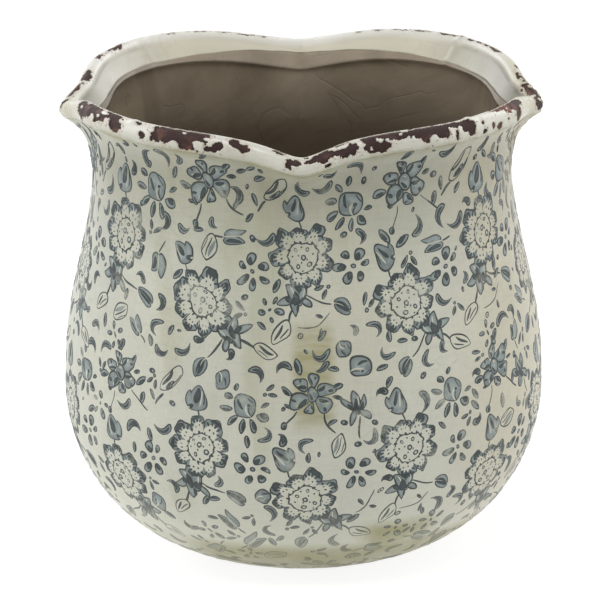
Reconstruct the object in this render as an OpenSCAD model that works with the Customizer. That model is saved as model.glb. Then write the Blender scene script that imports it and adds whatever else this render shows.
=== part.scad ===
// Ceramic cache pot with a round belly, a drawn-in neck and a rolled lip.
// The mouth is pinched at the front, back, left and right, so it has four lobes.
// The origin is at the middle of the foot, on the table, and +Z points up.

/* [Belly and neck] */
// Widest diameter of the belly, over the glaze
belly_d = 196; // [160:1:236]
// Height of the widest part of the belly
belly_z = 68; // [60:1:80]
// How far the neck lies in from the belly's widest circle, in the middle of a lobe
neck_inset = 6; // [2:0.5:12]
// How far the narrowest part of the neck lies below the middle of the rolled lip
neck_drop = 25; // [20:0.5:36]
// Thickness of the wall, with the glaze on both sides
wall = 5.5; // [4:0.5:7]

/* [Foot] */
// Outer diameter of the flat foot ring
foot_d = 90; // [76:1:104]
// Width of the flat foot ring
foot_ring_w = 8; // [5:0.5:12]
// Depth of the hollow inside the foot ring
foot_hollow = 2; // [1:0.5:3]
// Width of the bare clay edge between the foot ring and the glaze
bare_edge_w = 3; // [1.5:0.5:4]
// Height of the bare clay edge
bare_edge_h = 1; // [0.6:0.1:1.6]
// Angle at which the underside rises from the foot
base_rise_angle = 18; // [10:1:25]

/* [Lip] */
// How far the middle of the rolled lip lies in from the belly's widest circle, at a lobe
lip_inset = 3; // [0:0.5:6]
// Height of the middle of the rolled lip at the notches
lip_z = 183.5; // [179:0.5:190]
// Thickness of the rolled lip, over its coats
lip_t = 7.5; // [6.5:0.1:9]
// Height of the rolled lip, over its coats
lip_h = 9.5; // [8:0.1:11]
// Angle below the middle of the roll at which its outside meets the neck
outer_crease_angle = 35; // [25:1:45]
// Angle above the middle of the roll at which its inside meets the sloping band
inner_crease_angle = 15; // [5:1:25]
// Angle at which the outside of the neck flares out to the lip
flare_angle = 35; // [30:1:50]
// Depth of the ridge inside the neck, below the middle of the roll
ridge_drop = 5; // [4:0.1:7]
// How far the ridge stands out from the inside of the neck
ridge_depth = 1.2; // [0.6:0.1:2]
// Height of the undercut below the ridge
undercut_h = 2; // [1:0.1:3]

/* [Lobes] */
// How much higher the lip stands in the middle of a lobe than at a notch
lobe_rise = 8; // [4:0.5:12]
// Height at which the rise of the lobes starts
rise_from_z = 112; // [95:1:130]
// Depth of the pinch in the neck at each notch
pinch_depth = 6.3; // [4:0.1:9]
// Height at which the pinch starts
pinch_from_z = 82; // [70:1:100]
// Angle from the middle of a pinch over which it fades out
pinch_angle = 24; // [18:1:30]
// Length of the beak at each notch of the lip
beak_reach = 6.6; // [3:0.1:9]
// Angle from the middle of a beak over which it fades out
beak_angle = 7.6; // [6:0.1:14]

/* [Coats] */
// Thickness of the glaze
glaze_t = 0.5; // [0.3:0.1:0.8]
// Thickness of the dark slip under the glaze of the lip
slip_t = 0.4; // [0.2:0.1:0.6]

/* [Hidden] */

// Lengths of the curve handles, as shares of the width or height that each curve spans
foot_handle_share = 0.77;
belly_low_handle_share = 0.32;
belly_high_handle_share = 0.37;
neck_low_handle_share = 0.21;
neck_high_handle_share = 0.44;
lip_handle_share = 0.26;
// Where the cream glaze ends on the sloping band inside the lip
glaze_line_share = 0.5;
// How round the bottom of a notch is, and how full the lobes are
notch_round_share = 0.06;
lobe_fullness = 1.6;
// Powers at which the beaks and the rise of the lobes grow towards the lip
beak_growth = 1.5;
rise_growth = 2;
// How much closer together the facets lie at the beaks than on average
beak_crowding_share = 0.5;

// Number of facets round the pot and of steps along each stretch of its outline
around = 64;
base_steps = 6;
side_steps = 5;
flare_steps = 4;
roll_low_steps = 2;
roll_outer_steps = 4;
roll_inner_steps = 3;

// Radii and heights that follow from the sizes above
foot_r = foot_d/2;
belly_r = belly_d/2;
neck_r = belly_r - neck_inset;
neck_z = lip_z - neck_drop;
lip_r = belly_r - lip_inset;
edge_r = foot_r + bare_edge_w;
flare_h = lip_z - lip_h/2*sin(outer_crease_angle) - neck_z;
ridge_r = neck_r - wall - ridge_depth;
ridge_z = lip_z - ridge_drop;

// Points in the opposite order
function reversed(list) = [for (i = [len(list) - 1:-1:0]) list[i]];

// Point at share t of a cubic curve through four control points
function curve_point(p, t) =
    pow(1 - t, 3)*p[0] + 3*pow(1 - t, 2)*t*p[1] + 3*(1 - t)*t*t*p[2] + pow(t, 3)*p[3];

// Points of a curve without its first one, in the given number of steps
function curve(p, steps) = [for (i = [1:steps]) curve_point(p, i/steps)];

// Point of the rolled lip at an angle seen from its middle, a depth below its surface
function lip_point(angle, depth) =
    [lip_r + (lip_t/2 - depth)*cos(angle), lip_z + (lip_h/2 - depth)*sin(angle)];

// Angles between two directions, without the first one
function arc_angles(from, to, steps) = [for (i = [1:steps]) from + (to - from)*i/steps];

roll_angles = concat(
    [-outer_crease_angle],
    arc_angles(-outer_crease_angle, 0, roll_low_steps),
    arc_angles(0, 90, roll_outer_steps),
    arc_angles(90, 180 - inner_crease_angle, roll_inner_steps)
);

// The rolled lip from its outer crease over the top to its inner crease
function roll_line(depth) = [for (angle = roll_angles) lip_point(angle, depth)];

// Where the side starts above the foot, a depth below the outer surface
function side_start(depth) =
    [edge_r - depth*sin(base_rise_angle), bare_edge_h + depth*cos(base_rise_angle)];

// The side from just above the foot over the belly to the neck
function side_line(depth) =
    let (
        start = side_start(depth),
        belly = [belly_r - depth, belly_z],
        neck = [neck_r - depth, neck_z],
        base_reach = (belly.x - start.x)*foot_handle_share,
        base_handle = start + base_reach*[1, tan(base_rise_angle)],
        belly_low = belly - [0, (belly.y - start.y)*belly_low_handle_share],
        belly_high = belly + [0, (neck.y - belly.y)*belly_high_handle_share],
        neck_low = neck - [0, (neck.y - belly.y)*neck_low_handle_share]
    )
    concat(
        [start],
        curve([start, base_handle, belly_low, belly], base_steps),
        curve([belly, belly_high, neck_low, neck], side_steps)
    );

// The outside of the neck from its narrowest part to the crease under the lip
function flare_line(depth) =
    let (
        neck = [neck_r - depth, neck_z],
        crease = lip_point(-outer_crease_angle, depth),
        neck_high = neck + [0, flare_h*neck_high_handle_share],
        lip_low = crease - flare_h*lip_handle_share*[1/tan(flare_angle), 1]
    )
    curve([neck, neck_high, lip_low, crease], flare_steps);

// The sloping band inside the lip: its inner crease, the glaze line and the ridge below it
function band_line(depth) =
    let (
        crease = lip_point(180 - inner_crease_angle, depth),
        ridge = [ridge_r + depth, ridge_z]
    )
    [crease, crease + (ridge - crease)*glaze_line_share, ridge];

// The inside of the wall from below the undercut down to the edge of the floor
function inner_line(depth) =
    let (
        wall_line = side_line(wall - depth),
        undercut = [neck_r - wall + depth, ridge_z - undercut_h]
    )
    concat([undercut], reversed(wall_line));

// The cream coat's surface from above the foot over the lip to the glaze line inside
function cream_line(depth) = concat(
    side_line(depth),
    flare_line(depth),
    [for (i = [1:len(roll_angles) - 1]) roll_line(depth)[i]],
    [band_line(depth)[1]]
);

// The lining from the glaze line inside down to the middle of the floor
function lining_line(depth) =
    let (wall_side = inner_line(depth))
    concat(
        [band_line(depth)[1], band_line(depth)[2]],
        wall_side,
        [[0, wall_side[len(wall_side) - 1].y]]
    );

// Part of a height range that a height has passed, from 0 to 1
function passed(z, low, high) = max(0, min(1, (z - low)/(high - low)));

function smooth(t) = t*t*(3 - 2*t);

// Angle from the nearest notch, and the height of the lobe there from 0 to 1
function from_notch(angle) = abs((angle + 45)%90 - 45);

function soft(t) = sqrt(t*t + notch_round_share*notch_round_share) - notch_round_share;

function lobe(angle) = 1 - pow(1 - soft(sin(2*from_notch(angle)))/soft(1), lobe_fullness);

// A bell curve that is 1 at a notch
function bell(angle, width) = exp(-pow(from_notch(angle)/width, 2));

// Point of the pot for a point of its outline, with the pinches, beaks and lobes
function pot_point(p, angle) =
    let (
        pinch = pinch_depth*smooth(passed(p.y, pinch_from_z, neck_z))*bell(angle, pinch_angle),
        beak = beak_reach*pow(passed(p.y, neck_z, lip_z), beak_growth)*bell(angle, beak_angle),
        rise = lobe_rise*pow(passed(p.y, rise_from_z, lip_z), rise_growth)*lobe(angle),
        r = p.x - pinch + beak
    )
    [r*cos(angle), r*sin(angle), p.y + rise];

// Directions of the facets' corners, drawn closer together at the four beaks
function facet_angle(j) =
    let (
        even = 360*j/around,
        quarter_radian = 180/PI/4
    )
    even - beak_crowding_share*quarter_radian*sin(4*even);

angles = [for (j = [0:around - 1]) facet_angle(j)];

// True if the outline point a comes first by height, or by radius at the same height
function before(a, b) = a.y < b.y || (a.y == b.y && a.x < b.x);

// Two triangles between neighbouring outline points, split alike from either direction
function quad(j, row, next_row, upward) =
    let (
        a = row + j,
        b = row + (j + 1)%around,
        c = next_row + j,
        d = next_row + (j + 1)%around
    )
    upward ? [[a, c, d], [a, d, b]] : [[a, c, b], [b, c, d]];

// Solid ring round the pot's axis from a closed outline, listed counter-clockwise
module ring_solid(outline) {
    rows = len(outline);
    points = [for (p = outline) for (angle = angles) pot_point(p, angle)];
    faces = [
        for (i = [0:rows - 1])
            for (j = [0:around - 1])
                each quad(
                    j, i*around, (i + 1)%rows*around,
                    before(outline[i], outline[(i + 1)%rows])
                )
    ];
    polyhedron(points, faces, convexity = 10);
}

// Solid from an outline that starts and ends on the axis, listed counter-clockwise
module axis_solid(outline) {
    last = len(outline) - 1;
    rim = [for (i = [1:last - 1]) outline[i]];
    rows = len(rim);
    start = rows*around;
    points = concat(
        [for (p = rim) for (angle = angles) pot_point(p, angle)],
        [[0, 0, outline[0].y], [0, 0, outline[last].y]]
    );
    faces = concat(
        [
            for (i = [0:rows - 2])
                for (j = [0:around - 1])
                    each quad(j, i*around, (i + 1)*around, before(rim[i], rim[i + 1]))
        ],
        [for (j = [0:around - 1]) [start, j, (j + 1)%around]],
        [for (j = [0:around - 1]) [start + 1, start - around + (j + 1)%around, start - around + j]]
    );
    polyhedron(points, faces, convexity = 10);
}

// Fired clay: foot ring, wall, floor and the core of the lip
module clay_body() {
    under = [
        [0, foot_hollow],
        [foot_r - foot_ring_w, foot_hollow],
        [foot_r - foot_ring_w, 0],
        [foot_r, 0]
    ];
    outside = concat(side_line(glaze_t), flare_line(glaze_t));
    color([0.80, 0.70, 0.58])
        axis_solid(concat(
            under,
            outside,
            roll_line(glaze_t + slip_t),
            [band_line(glaze_t)[0]],
            lining_line(glaze_t)
        ));
}

// Dark slip round the lip, let into the clay and covered by the cream glaze
module rim_slip() {
    color([0.27, 0.17, 0.16])
        ring_solid(concat(roll_line(glaze_t), reversed(roll_line(glaze_t + slip_t))));
}

// Cream glaze over the outside, the lip and the top of the inside
module cream_glaze() {
    color([0.87, 0.86, 0.79])
        ring_solid(concat(cream_line(0), reversed(cream_line(glaze_t))));
}

// Taupe glaze over the inside and the floor
module inner_glaze() {
    color([0.45, 0.41, 0.36])
        axis_solid(concat(reversed(lining_line(glaze_t)), lining_line(0)));
}

clay_body();
rim_slip();
cream_glaze();
inner_glaze();
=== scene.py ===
import functools
import itertools
import math
import random
from collections import namedtuple

import bmesh
import bpy
import numpy as np
from bpy.props import FloatProperty, FloatVectorProperty, IntProperty, PointerProperty
from mathutils import Matrix, Vector, noise


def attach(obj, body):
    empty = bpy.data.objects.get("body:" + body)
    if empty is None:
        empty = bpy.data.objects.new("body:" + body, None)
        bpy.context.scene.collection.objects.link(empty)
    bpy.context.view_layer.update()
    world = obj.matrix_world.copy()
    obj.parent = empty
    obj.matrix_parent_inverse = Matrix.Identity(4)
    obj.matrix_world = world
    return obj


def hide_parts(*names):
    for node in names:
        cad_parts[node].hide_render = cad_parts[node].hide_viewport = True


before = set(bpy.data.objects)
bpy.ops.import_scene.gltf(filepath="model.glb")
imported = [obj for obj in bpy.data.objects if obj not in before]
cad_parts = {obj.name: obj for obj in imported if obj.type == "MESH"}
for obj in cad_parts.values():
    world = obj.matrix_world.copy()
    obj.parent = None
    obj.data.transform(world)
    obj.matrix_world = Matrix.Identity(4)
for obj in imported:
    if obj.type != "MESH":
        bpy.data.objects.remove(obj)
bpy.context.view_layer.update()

bl_info = {
    "name": "Ceramic flower pot",
    "version": (1, 0, 0),
    "blender": (4, 5, 0),
    "location": "View3D > Sidebar > Flower pot",
    "description": "Builds the visible coats, the worn lip and the printed flowers of a glazed cache pot",
    "category": "Object",
}

MM = 0.001
TAU = 2 * math.pi
IMAGE_WIDTH = 600
SENSOR_WIDTH = 36
UV_MAP = "OFBake"
# The share of its length that a line which nobody sees gets on the UV map.
UNSEEN_SHARE = 0.05
# A radius below this lies on the axis.
ON_AXIS = 1e-6


# ---- Sizes and colours ----

def length(name, description, millimetres):
    return FloatProperty(
        name=name, description=description, default=millimetres * MM, unit="LENGTH", precision=4
    )


def angle(name, description, degrees):
    return FloatProperty(
        name=name, description=description, default=math.radians(degrees), unit="ROTATION"
    )


def share(name, description, value):
    return FloatProperty(name=name, description=description, default=value, subtype="FACTOR")


def colour(name, description, value):
    return FloatVectorProperty(
        name=name, description=description, default=value, subtype="COLOR", size=3, min=0, max=1
    )

def power(name, description, watts):
    return FloatProperty(name=name, description=description, default=watts, unit="POWER")


class PotForm(bpy.types.PropertyGroup):
    """Sizes of the pot, as its solids have them"""
    belly_width: length("Belly width", "Widest diameter of the belly, over the glaze", 196)
    belly_height: length("Belly height", "Height of the widest part of the belly", 68)
    neck_inset: length("Neck inset", "How far the neck lies in from the belly's widest circle", 6)
    neck_drop: length("Neck drop", "How far the neck lies below the middle of the lip", 25)
    wall: length("Wall", "Thickness of the wall with its glaze", 5.5)
    foot_width: length("Foot width", "Outer diameter of the foot ring", 90)
    foot_ring: length("Foot ring", "Width of the foot ring", 8)
    foot_hollow: length("Foot hollow", "Depth of the hollow inside the foot ring", 2)
    bare_edge_width: length("Bare edge width", "Width of the bare clay edge", 3)
    bare_edge_height: length("Bare edge height", "Height of the bare clay edge", 1)
    base_rise: angle("Base rise", "Angle at which the underside rises from the foot", 18)
    lip_inset: length("Lip inset", "How far the roll lies in from the belly's widest circle", 3)
    lip_height: length("Lip height", "Height of the middle of the rolled lip at a notch", 183.5)
    roll_thickness: length("Roll thickness", "Thickness of the rolled lip", 7.5)
    roll_height: length("Roll height", "Height of the rolled lip", 9.5)
    outer_crease: angle("Outer crease", "Angle below the roll's middle where it meets the neck", 35)
    inner_crease: angle("Inner crease", "Angle above the roll's middle where the band starts", 15)
    flare: angle("Flare", "Angle at which the neck flares out to the lip", 35)
    ridge_drop: length("Ridge drop", "Depth of the ridge below the middle of the roll", 5)
    ridge_depth: length("Ridge depth", "How far the ridge stands out", 1.2)
    undercut: length("Undercut", "Height of the undercut below the ridge", 2)
    lobe_rise: length("Lobe rise", "How much higher the lip stands in the middle of a lobe", 8)
    rise_from: length("Rise from", "Height at which the rise of the lobes starts", 112)
    pinch: length("Pinch", "Depth of the pinch in the neck at a notch", 6.3)
    pinch_from: length("Pinch from", "Height at which the pinch starts", 82)
    pinch_spread: angle("Pinch spread", "Angle over which a pinch fades out", 24)
    beak: length("Beak", "Length of the beak at each notch of the lip", 6.6)
    beak_spread: angle("Beak spread", "Angle over which a beak fades out", 7.6)
    glaze: length("Glaze", "Thickness of the glaze", 0.5)
    slip: length("Slip", "Thickness of the dark slip", 0.4)


class PotColours(bpy.types.PropertyGroup):
    """Colours of the clay, the coats and the ink"""
    clay: colour("Clay", "Bare fired clay of the foot", (0.56, 0.45, 0.33))
    slip_dark: colour("Slip", "Dark slip under the glaze of the lip", (0.034, 0.015, 0.013))
    slip_rubbed: colour("Rubbed slip", "Rubbed places of the slip", (0.15, 0.065, 0.045))
    cream: colour("Cream glaze", "Ground of the outside", (0.745, 0.75, 0.625))
    cream_grey: colour("Grey cream", "Cooler clouds in the ground", (0.66, 0.67, 0.575))
    cream_warm: colour("Warm cream", "Warmer clouds in the ground", (0.74, 0.715, 0.56))
    lip_white: colour("Lip white", "Thick pale glaze of the lip", (0.86, 0.84, 0.745))
    band: colour("Inner band", "Glaze of the sloping band inside the lip", (0.83, 0.78, 0.61))
    scorch: colour("Scorched edge", "Pinkish beige round the worn patches", (0.64, 0.50, 0.38))
    stain: colour("Stain", "Olive ochre stain of the glaze", (0.385, 0.36, 0.17))
    lining: colour("Taupe lining", "Glaze of the inside", (0.36, 0.295, 0.213))
    lining_dark: colour("Dark lining", "Darker runs of the lining", (0.265, 0.215, 0.153))
    ink_line: colour("Ink line", "Dark outlines of the print", (0.075, 0.096, 0.097))
    ink_wash: colour("Ink wash", "Grey-blue fill of the print", (0.39, 0.45, 0.435))
    ink_shade: colour("Ink shade", "Darker places of the fill", (0.185, 0.222, 0.222))
    floor: colour("Floor", "Pale floor that the pot stands on", (0.80, 0.80, 0.80))


class PotPrint(bpy.types.PropertyGroup):
    """The printed flowers"""
    seed: IntProperty(name="Seed", description="Which scatter of small motifs is used", default=7)
    size: share("Size", "Size of the motifs against their drawn size", 1.0)
    gap: length("Gap", "Free ground kept round each motif", 0.35)
    repeats: IntProperty(name="Repeats", description="How often the sprig repeats round the pot", default=7)
    repeat_height: length("Repeat height", "Height of one repeat, measured along the wall", 92)
    line: length("Line", "Width of the dark outlines", 0.48)


class PotStage(bpy.types.PropertyGroup):
    """Camera and light"""
    elevation: angle("Elevation", "How far the camera looks down", 16.06)
    distance: length("Distance", "From the camera to the pot", 3377)
    pixels_per_metre: FloatProperty(
        name="Picture scale", description="Pixels per metre at the pot's middle", default=2431.4
    )
    roll: angle("Roll", "Turn of the camera about its view", 0.42)
    left_power: power("Left lamp", "Power of the lamp at the left", 6.15)
    right_power: power("Right lamp", "Power of the lamp at the right", 5.2)
    high_power: power("High lamp", "Power of the lamp above the camera", 13.5)
    back_power: power("Back lamps", "Power of each lamp behind the pot", 5.5)
    sky: share("Sky", "Strength of the plain surrounding light", 0.02)


# ---- The pot's outline and its lobes ----

def cubic(a, b, c, d, steps):
    """Points of a cubic curve, the first one included."""
    t = np.linspace(0, 1, steps + 1)[:, None]
    a, b, c, d = (np.array(p, float) for p in (a, b, c, d))
    return (1 - t) ** 3 * a + 3 * (1 - t) ** 2 * t * b + 3 * (1 - t) * t * t * c + t ** 3 * d


def cut_corners(line, times):
    """Rounds the corners of an open line and keeps its ends."""
    for _ in range(times):
        before, after = line[:-1], line[1:]
        middle = np.empty((2 * len(before), 2))
        middle[0::2] = 0.75 * before + 0.25 * after
        middle[1::2] = 0.25 * before + 0.75 * after
        line = np.vstack([line[:1], middle[1:-1], line[-1:]])
    return line


def along_line(line):
    """The distance of each point of a line from its first point."""
    return np.concatenate([[0], np.cumsum(np.linalg.norm(np.diff(line, axis=0), axis=1))])


def passed(value, low, high):
    """How far a value has come from one end to another, from 0 to 1."""
    return np.clip((value - low) / (high - low), 0, 1)


def bell(away, spread):
    """1 in the middle, fading out to both sides."""
    return np.exp(-(away / spread) ** 2)


def waves(turn, *terms):
    """A sum of waves round the pot, each given by its number, its start and its height."""
    return sum(height * np.sin(number * turn + start) for number, start, height in terms)


class Outline:
    """Lines of the cross-section, as radius and height, and what turns them into the lobed pot."""

    # Shares of a curve's height or width at which its handles lie.
    FOOT_HANDLE, LOW_HANDLE, HIGH_HANDLE = 0.77, 0.32, 0.37
    NECK_LOW_HANDLE, NECK_HIGH_HANDLE, LIP_HANDLE = 0.21, 0.44, 0.26
    # Where on the sloping band the cream glaze meets the lining.
    GLAZE_LINE = 0.85
    NOTCH_ROUND, LOBE_FULLNESS = 0.06, 1.6
    # How far the hand-shaped wall and lip stray from the true form, and how narrowly they keep to its widest places.
    HAND, SAG, TRUE_PLACE = 0.22 * MM, 0.25 * MM, 0.02

    def __init__(self, form):
        self.form = f = form
        self.belly_r = f.belly_width / 2
        self.neck_r = self.belly_r - f.neck_inset
        self.lip_r = self.belly_r - f.lip_inset
        self.neck_z = f.lip_height - f.neck_drop
        self.edge_r = f.foot_width / 2 + f.bare_edge_width
        self.ridge = np.array([self.neck_r - f.wall - f.ridge_depth, f.lip_height - f.ridge_drop])
        self.printed = np.vstack([self.side(0, 120, 120), self.flare_line(0, 60)[1:]])
        self.along = along_line(self.printed)
        slope = np.gradient(self.printed, self.along, axis=0)
        self.normal = np.column_stack([slope[:, 1], -slope[:, 0]])
        self.normal /= np.linalg.norm(self.normal, axis=1)[:, None]

    def side(self, depth, base_steps, side_steps):
        f = self.form
        start = np.array([
            self.edge_r - depth * math.sin(f.base_rise),
            f.bare_edge_height + depth * math.cos(f.base_rise),
        ])
        belly = np.array([self.belly_r - depth, f.belly_height])
        neck = np.array([self.neck_r - depth, self.neck_z])
        reach = (belly[0] - start[0]) * self.FOOT_HANDLE
        low = cubic(
            start, start + reach * np.array([1, math.tan(f.base_rise)]),
            belly - [0, (belly[1] - start[1]) * self.LOW_HANDLE], belly, base_steps,
        )
        high = cubic(
            belly, belly + [0, (neck[1] - belly[1]) * self.HIGH_HANDLE],
            neck - [0, (neck[1] - belly[1]) * self.NECK_LOW_HANDLE], neck, side_steps,
        )
        return np.vstack([low, high[1:]])

    def roll_point(self, turn, depth):
        f = self.form
        return np.array([
            self.lip_r + (f.roll_thickness / 2 - depth) * math.cos(turn),
            f.lip_height + (f.roll_height / 2 - depth) * math.sin(turn),
        ])

    def flare_line(self, depth, steps):
        f = self.form
        neck = np.array([self.neck_r - depth, self.neck_z])
        crease = self.roll_point(-f.outer_crease, depth)
        height = f.lip_height - f.roll_height / 2 * math.sin(f.outer_crease) - self.neck_z
        return cubic(
            neck, neck + [0, height * self.NECK_HIGH_HANDLE],
            crease - height * self.LIP_HANDLE * np.array([1 / math.tan(f.flare), 1]), crease, steps,
        )

    def roll(self, depth, steps):
        turns = np.linspace(-self.form.outer_crease, math.pi - self.form.inner_crease, steps + 1)
        for exact in (math.pi / 2, 0):
            turns[np.argmin(abs(turns - exact))] = exact
        return np.array([self.roll_point(t, depth) for t in turns])

    def band(self, depth, low, high, steps):
        """The sloping band inside the lip between two shares of it."""
        crease = self.roll_point(math.pi - self.form.inner_crease, depth)
        ridge = self.ridge + [depth, 0]
        return np.array([crease + (ridge - crease) * s for s in np.linspace(low, high, steps + 1)])

    def lip_line(self, steps):
        """Outside of the lip's glaze, which fills the crease between the roll and the band a little."""
        line = np.vstack([self.roll(0, steps), self.band(0, 0, self.GLAZE_LINE, 8)[1:]])
        for _ in range(4):
            eased = line.copy()
            near = slice(steps - 4, steps + 5)
            eased[near] = (line[steps - 5:steps + 4] + line[near] + line[steps - 3:steps + 6]) / 3
            line = eased
        return line

    def lining(self, depth, base_steps, side_steps):
        """From the glaze line inside, over the ridge, down the wall and to the floor's middle."""
        f = self.form
        wall = self.side(f.wall - depth, base_steps, side_steps)[::-1]
        undercut = np.array([self.neck_r - f.wall + depth, self.ridge[1] - f.undercut])
        top = np.vstack([self.band(depth, self.GLAZE_LINE, 1, 3), undercut, undercut - [0, 4 * MM]])
        return np.vstack([cut_corners(top, 2), wall, [[0, wall[-1][1]]]])

    def from_notch(self, turn):
        return abs((turn + math.pi / 4) % (math.pi / 2) - math.pi / 4)

    def rounded(self, value):
        return np.sqrt(value * value + self.NOTCH_ROUND ** 2) - self.NOTCH_ROUND

    def lobe(self, turn):
        across = self.rounded(np.sin(2 * self.from_notch(turn))) / self.rounded(1)
        return 1 - (1 - across) ** self.LOBE_FULLNESS

    def shaped(self, radius, height, turn):
        """Places points of the plain outline on the lobed, pinched and beaked pot."""
        f = self.form
        near = self.from_notch(turn)
        fade = passed(height, f.pinch_from, self.neck_z)
        pinch = f.pinch * fade * fade * (3 - 2 * fade) * bell(near, f.pinch_spread)
        beak = f.beak * passed(height, self.neck_z, f.lip_height) ** 1.5 * bell(near, f.beak_spread)
        raised = passed(height, f.rise_from, f.lip_height)
        rise = f.lobe_rise * raised ** 2 * self.lobe(turn)
        hand = self.HAND * passed(height, f.belly_height, f.lip_height) * (
            waves(turn, (3, 0.7, 1), (5, 2.1, 0.7), (11, 0, 0.5)) - 2.2
        )
        sag = self.SAG * raised * (waves(turn, (5, 1.3, 1), (9, 0.4, 0.6)) - 1.6)
        radius = radius - pinch + beak + hand * (1 - 0.999 * bell(near, self.TRUE_PLACE))
        height = height + rise + sag * (1 - bell(near - math.pi / 4, self.TRUE_PLACE))
        return radius * np.cos(turn), radius * np.sin(turn), height


# ---- Mesh helpers ----

def coordinates(mesh):
    co = np.empty(len(mesh.vertices) * 3)
    mesh.vertices.foreach_get("co", co)
    return co.reshape(-1, 3)


def set_coordinates(mesh, co):
    mesh.vertices.foreach_set("co", np.ascontiguousarray(co, np.float32).ravel())
    mesh.update()


def store(mesh, name, values):
    """Gives each point of a mesh a value that a material can read."""
    layer = mesh.attributes.new(name, "FLOAT", "POINT")
    layer.data.foreach_set("value", values.astype(np.float32))


def round_axis(co):
    """The radius and the direction of each point."""
    return np.hypot(co[:, 0], co[:, 1]), np.arctan2(co[:, 1], co[:, 0])


def turned(name, line, around, seen=None):
    """A line of radius and height turned once round the axis, with its unrolled UV map.

    The first points of the line, as many as seen, get most of the map.
    """
    rows_up = len(line) - 1
    bm = bmesh.new()
    bm.loops.layers.uv.new(UV_MAP)
    bmesh.ops.create_grid(bm, x_segments=around, y_segments=rows_up, size=1, calc_uvs=True)
    mesh = bpy.data.meshes.new(name)
    bm.to_mesh(mesh)
    co = coordinates(mesh)
    turn = (co[:, 0] + 1) * math.pi
    radius, height = line[np.rint((co[:, 1] + 1) / 2 * rows_up).astype(int)].T
    set_coordinates(mesh, np.column_stack([radius * np.cos(turn), radius * np.sin(turn), height]))
    steps = np.linalg.norm(np.diff(line, axis=0), axis=1)
    steps[(seen or rows_up + 1) - 1:] *= UNSEEN_SHARE
    share_of_row = np.concatenate([[0], np.cumsum(steps)]) / steps.sum()
    uv = np.empty(len(mesh.loops) * 2)
    mesh.uv_layers[0].data.foreach_get("uv", uv)
    uv = uv.reshape(-1, 2)
    uv[:, 1] = share_of_row[np.rint(uv[:, 1] * rows_up).astype(int)]
    mesh.uv_layers[0].data.foreach_set("uv", uv.ravel())
    bm.clear()
    bm.from_mesh(mesh)
    bmesh.ops.remove_doubles(bm, verts=bm.verts, dist=1e-7)
    bmesh.ops.recalc_face_normals(bm, faces=bm.faces)
    bpy.data.meshes.remove(mesh)
    return bm


# The line between the glazes, in shares of the sloping band: its middle, how far it waves and its ends.
LINE_MIDDLE, LINE_WAVES, LINE_ENDS = 0.88, 0.03, (0.12, 0.96)
# Where it climbs, in degrees round the pot, by how much and how widely.
LINE_CLIMBS = ((92, 0.72, 25), (0, 0.3, 13), (180, 0.18, 13))


def wave_glaze_line(co, outline):
    """Lets the line between the two glazes wander.

    It climbs the sloping band at the back notch and the beaks.
    """
    radius, turn = round_axis(co)
    crease = outline.roll_point(math.pi - outline.form.inner_crease, 0)
    slope = outline.ridge - crease
    reach = np.linalg.norm(slope)
    along = ((radius - crease[0]) * slope[0] + (co[:, 2] - crease[1]) * slope[1]) / reach
    off = abs((radius - crease[0]) * slope[1] - (co[:, 2] - crease[1]) * slope[0]) / reach
    part = np.clip(along / reach, 0, 1)
    line = LINE_MIDDLE + LINE_WAVES * waves(turn, (4, 0.6, 1), (9, 1.9, 0.6), (23, 0, 0.35), (41, 0, 0.2))
    for place, climb, spread in LINE_CLIMBS:
        line = line - climb * bell((np.degrees(turn) - place + 180) % 360 - 180, spread)
    line = np.clip(line, *LINE_ENDS)
    usual = outline.GLAZE_LINE
    placed = np.where(part < usual, part * line / usual, 1 - (1 - part) * (1 - line) / (1 - usual))
    shift = (placed - part) * (off < outline.form.glaze * 1.6)
    radius = radius + slope[0] * shift
    return np.column_stack([radius * np.cos(turn), radius * np.sin(turn), co[:, 2] + slope[1] * shift])


def shape_pot(mesh, outline):
    """Moves a turned mesh on to the lobed pot."""
    co = wave_glaze_line(coordinates(mesh), outline)
    radius, turn = round_axis(co)
    set_coordinates(mesh, np.column_stack(outline.shaped(radius, co[:, 2], turn)))


def finish_mesh(bm, name, smooth=True):
    mesh = bpy.data.meshes.new(name)
    for face in bm.faces:
        face.smooth = smooth
    bm.to_mesh(mesh)
    bm.free()
    return mesh


def add_piece(name, mesh, material, slot, *nodes):
    """Links a piece, fixes it to the body and hides the solids that it stands for."""
    piece = bpy.data.objects.new(name, mesh)
    bpy.context.scene.collection.objects.link(piece)
    mesh.materials.clear()
    mesh.materials.append(material)
    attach(piece, "root")
    if nodes:
        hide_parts(*nodes)
    return piece


def mark_crease(mesh, outline, reach):
    """Stores how near each point is to the crease under the lip."""
    co, crease = coordinates(mesh), outline.roll_point(-outline.form.outer_crease, 0)
    away = np.hypot(np.hypot(co[:, 0], co[:, 1]) - crease[0], co[:, 2] - crease[1])
    store(mesh, "crease", 1 - np.clip(away / reach, 0, 1))


def add_coat(name, outside, inside, around, outline, *looks):
    """A closed coat between an outer line and an inner one, with its material, slot and node; the slot is not used.
    """
    line = np.vstack([outside, inside[::-1]])
    if line[0][0] > ON_AXIS and line[-1][0] > ON_AXIS:
        line = np.vstack([line, line[:1]])
    mesh = finish_mesh(turned(name, line, around, len(outside)), name)
    mark_crease(mesh, outline, 4 * MM)
    shape_pot(mesh, outline)
    add_piece(name, mesh, *looks)


# ---- Materials ----

WHITE = (1, 1, 1, 1)


def add_node(tree, kind, inputs, **options):
    """Adds a node with its options, and gives its inputs values or links them."""
    node = tree.nodes.new(kind)
    for name, value in options.items():
        setattr(node, name, value)
    for key, value in inputs.items():
        if isinstance(value, bpy.types.NodeSocket):
            tree.links.new(value, node.inputs[key])
        else:
            node.inputs[key].default_value = value
    return node.outputs


def new_tree(owner):
    """The emptied node tree of a new material or world."""
    owner.use_nodes = True
    owner.node_tree.nodes.clear()
    return owner.node_tree


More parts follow.
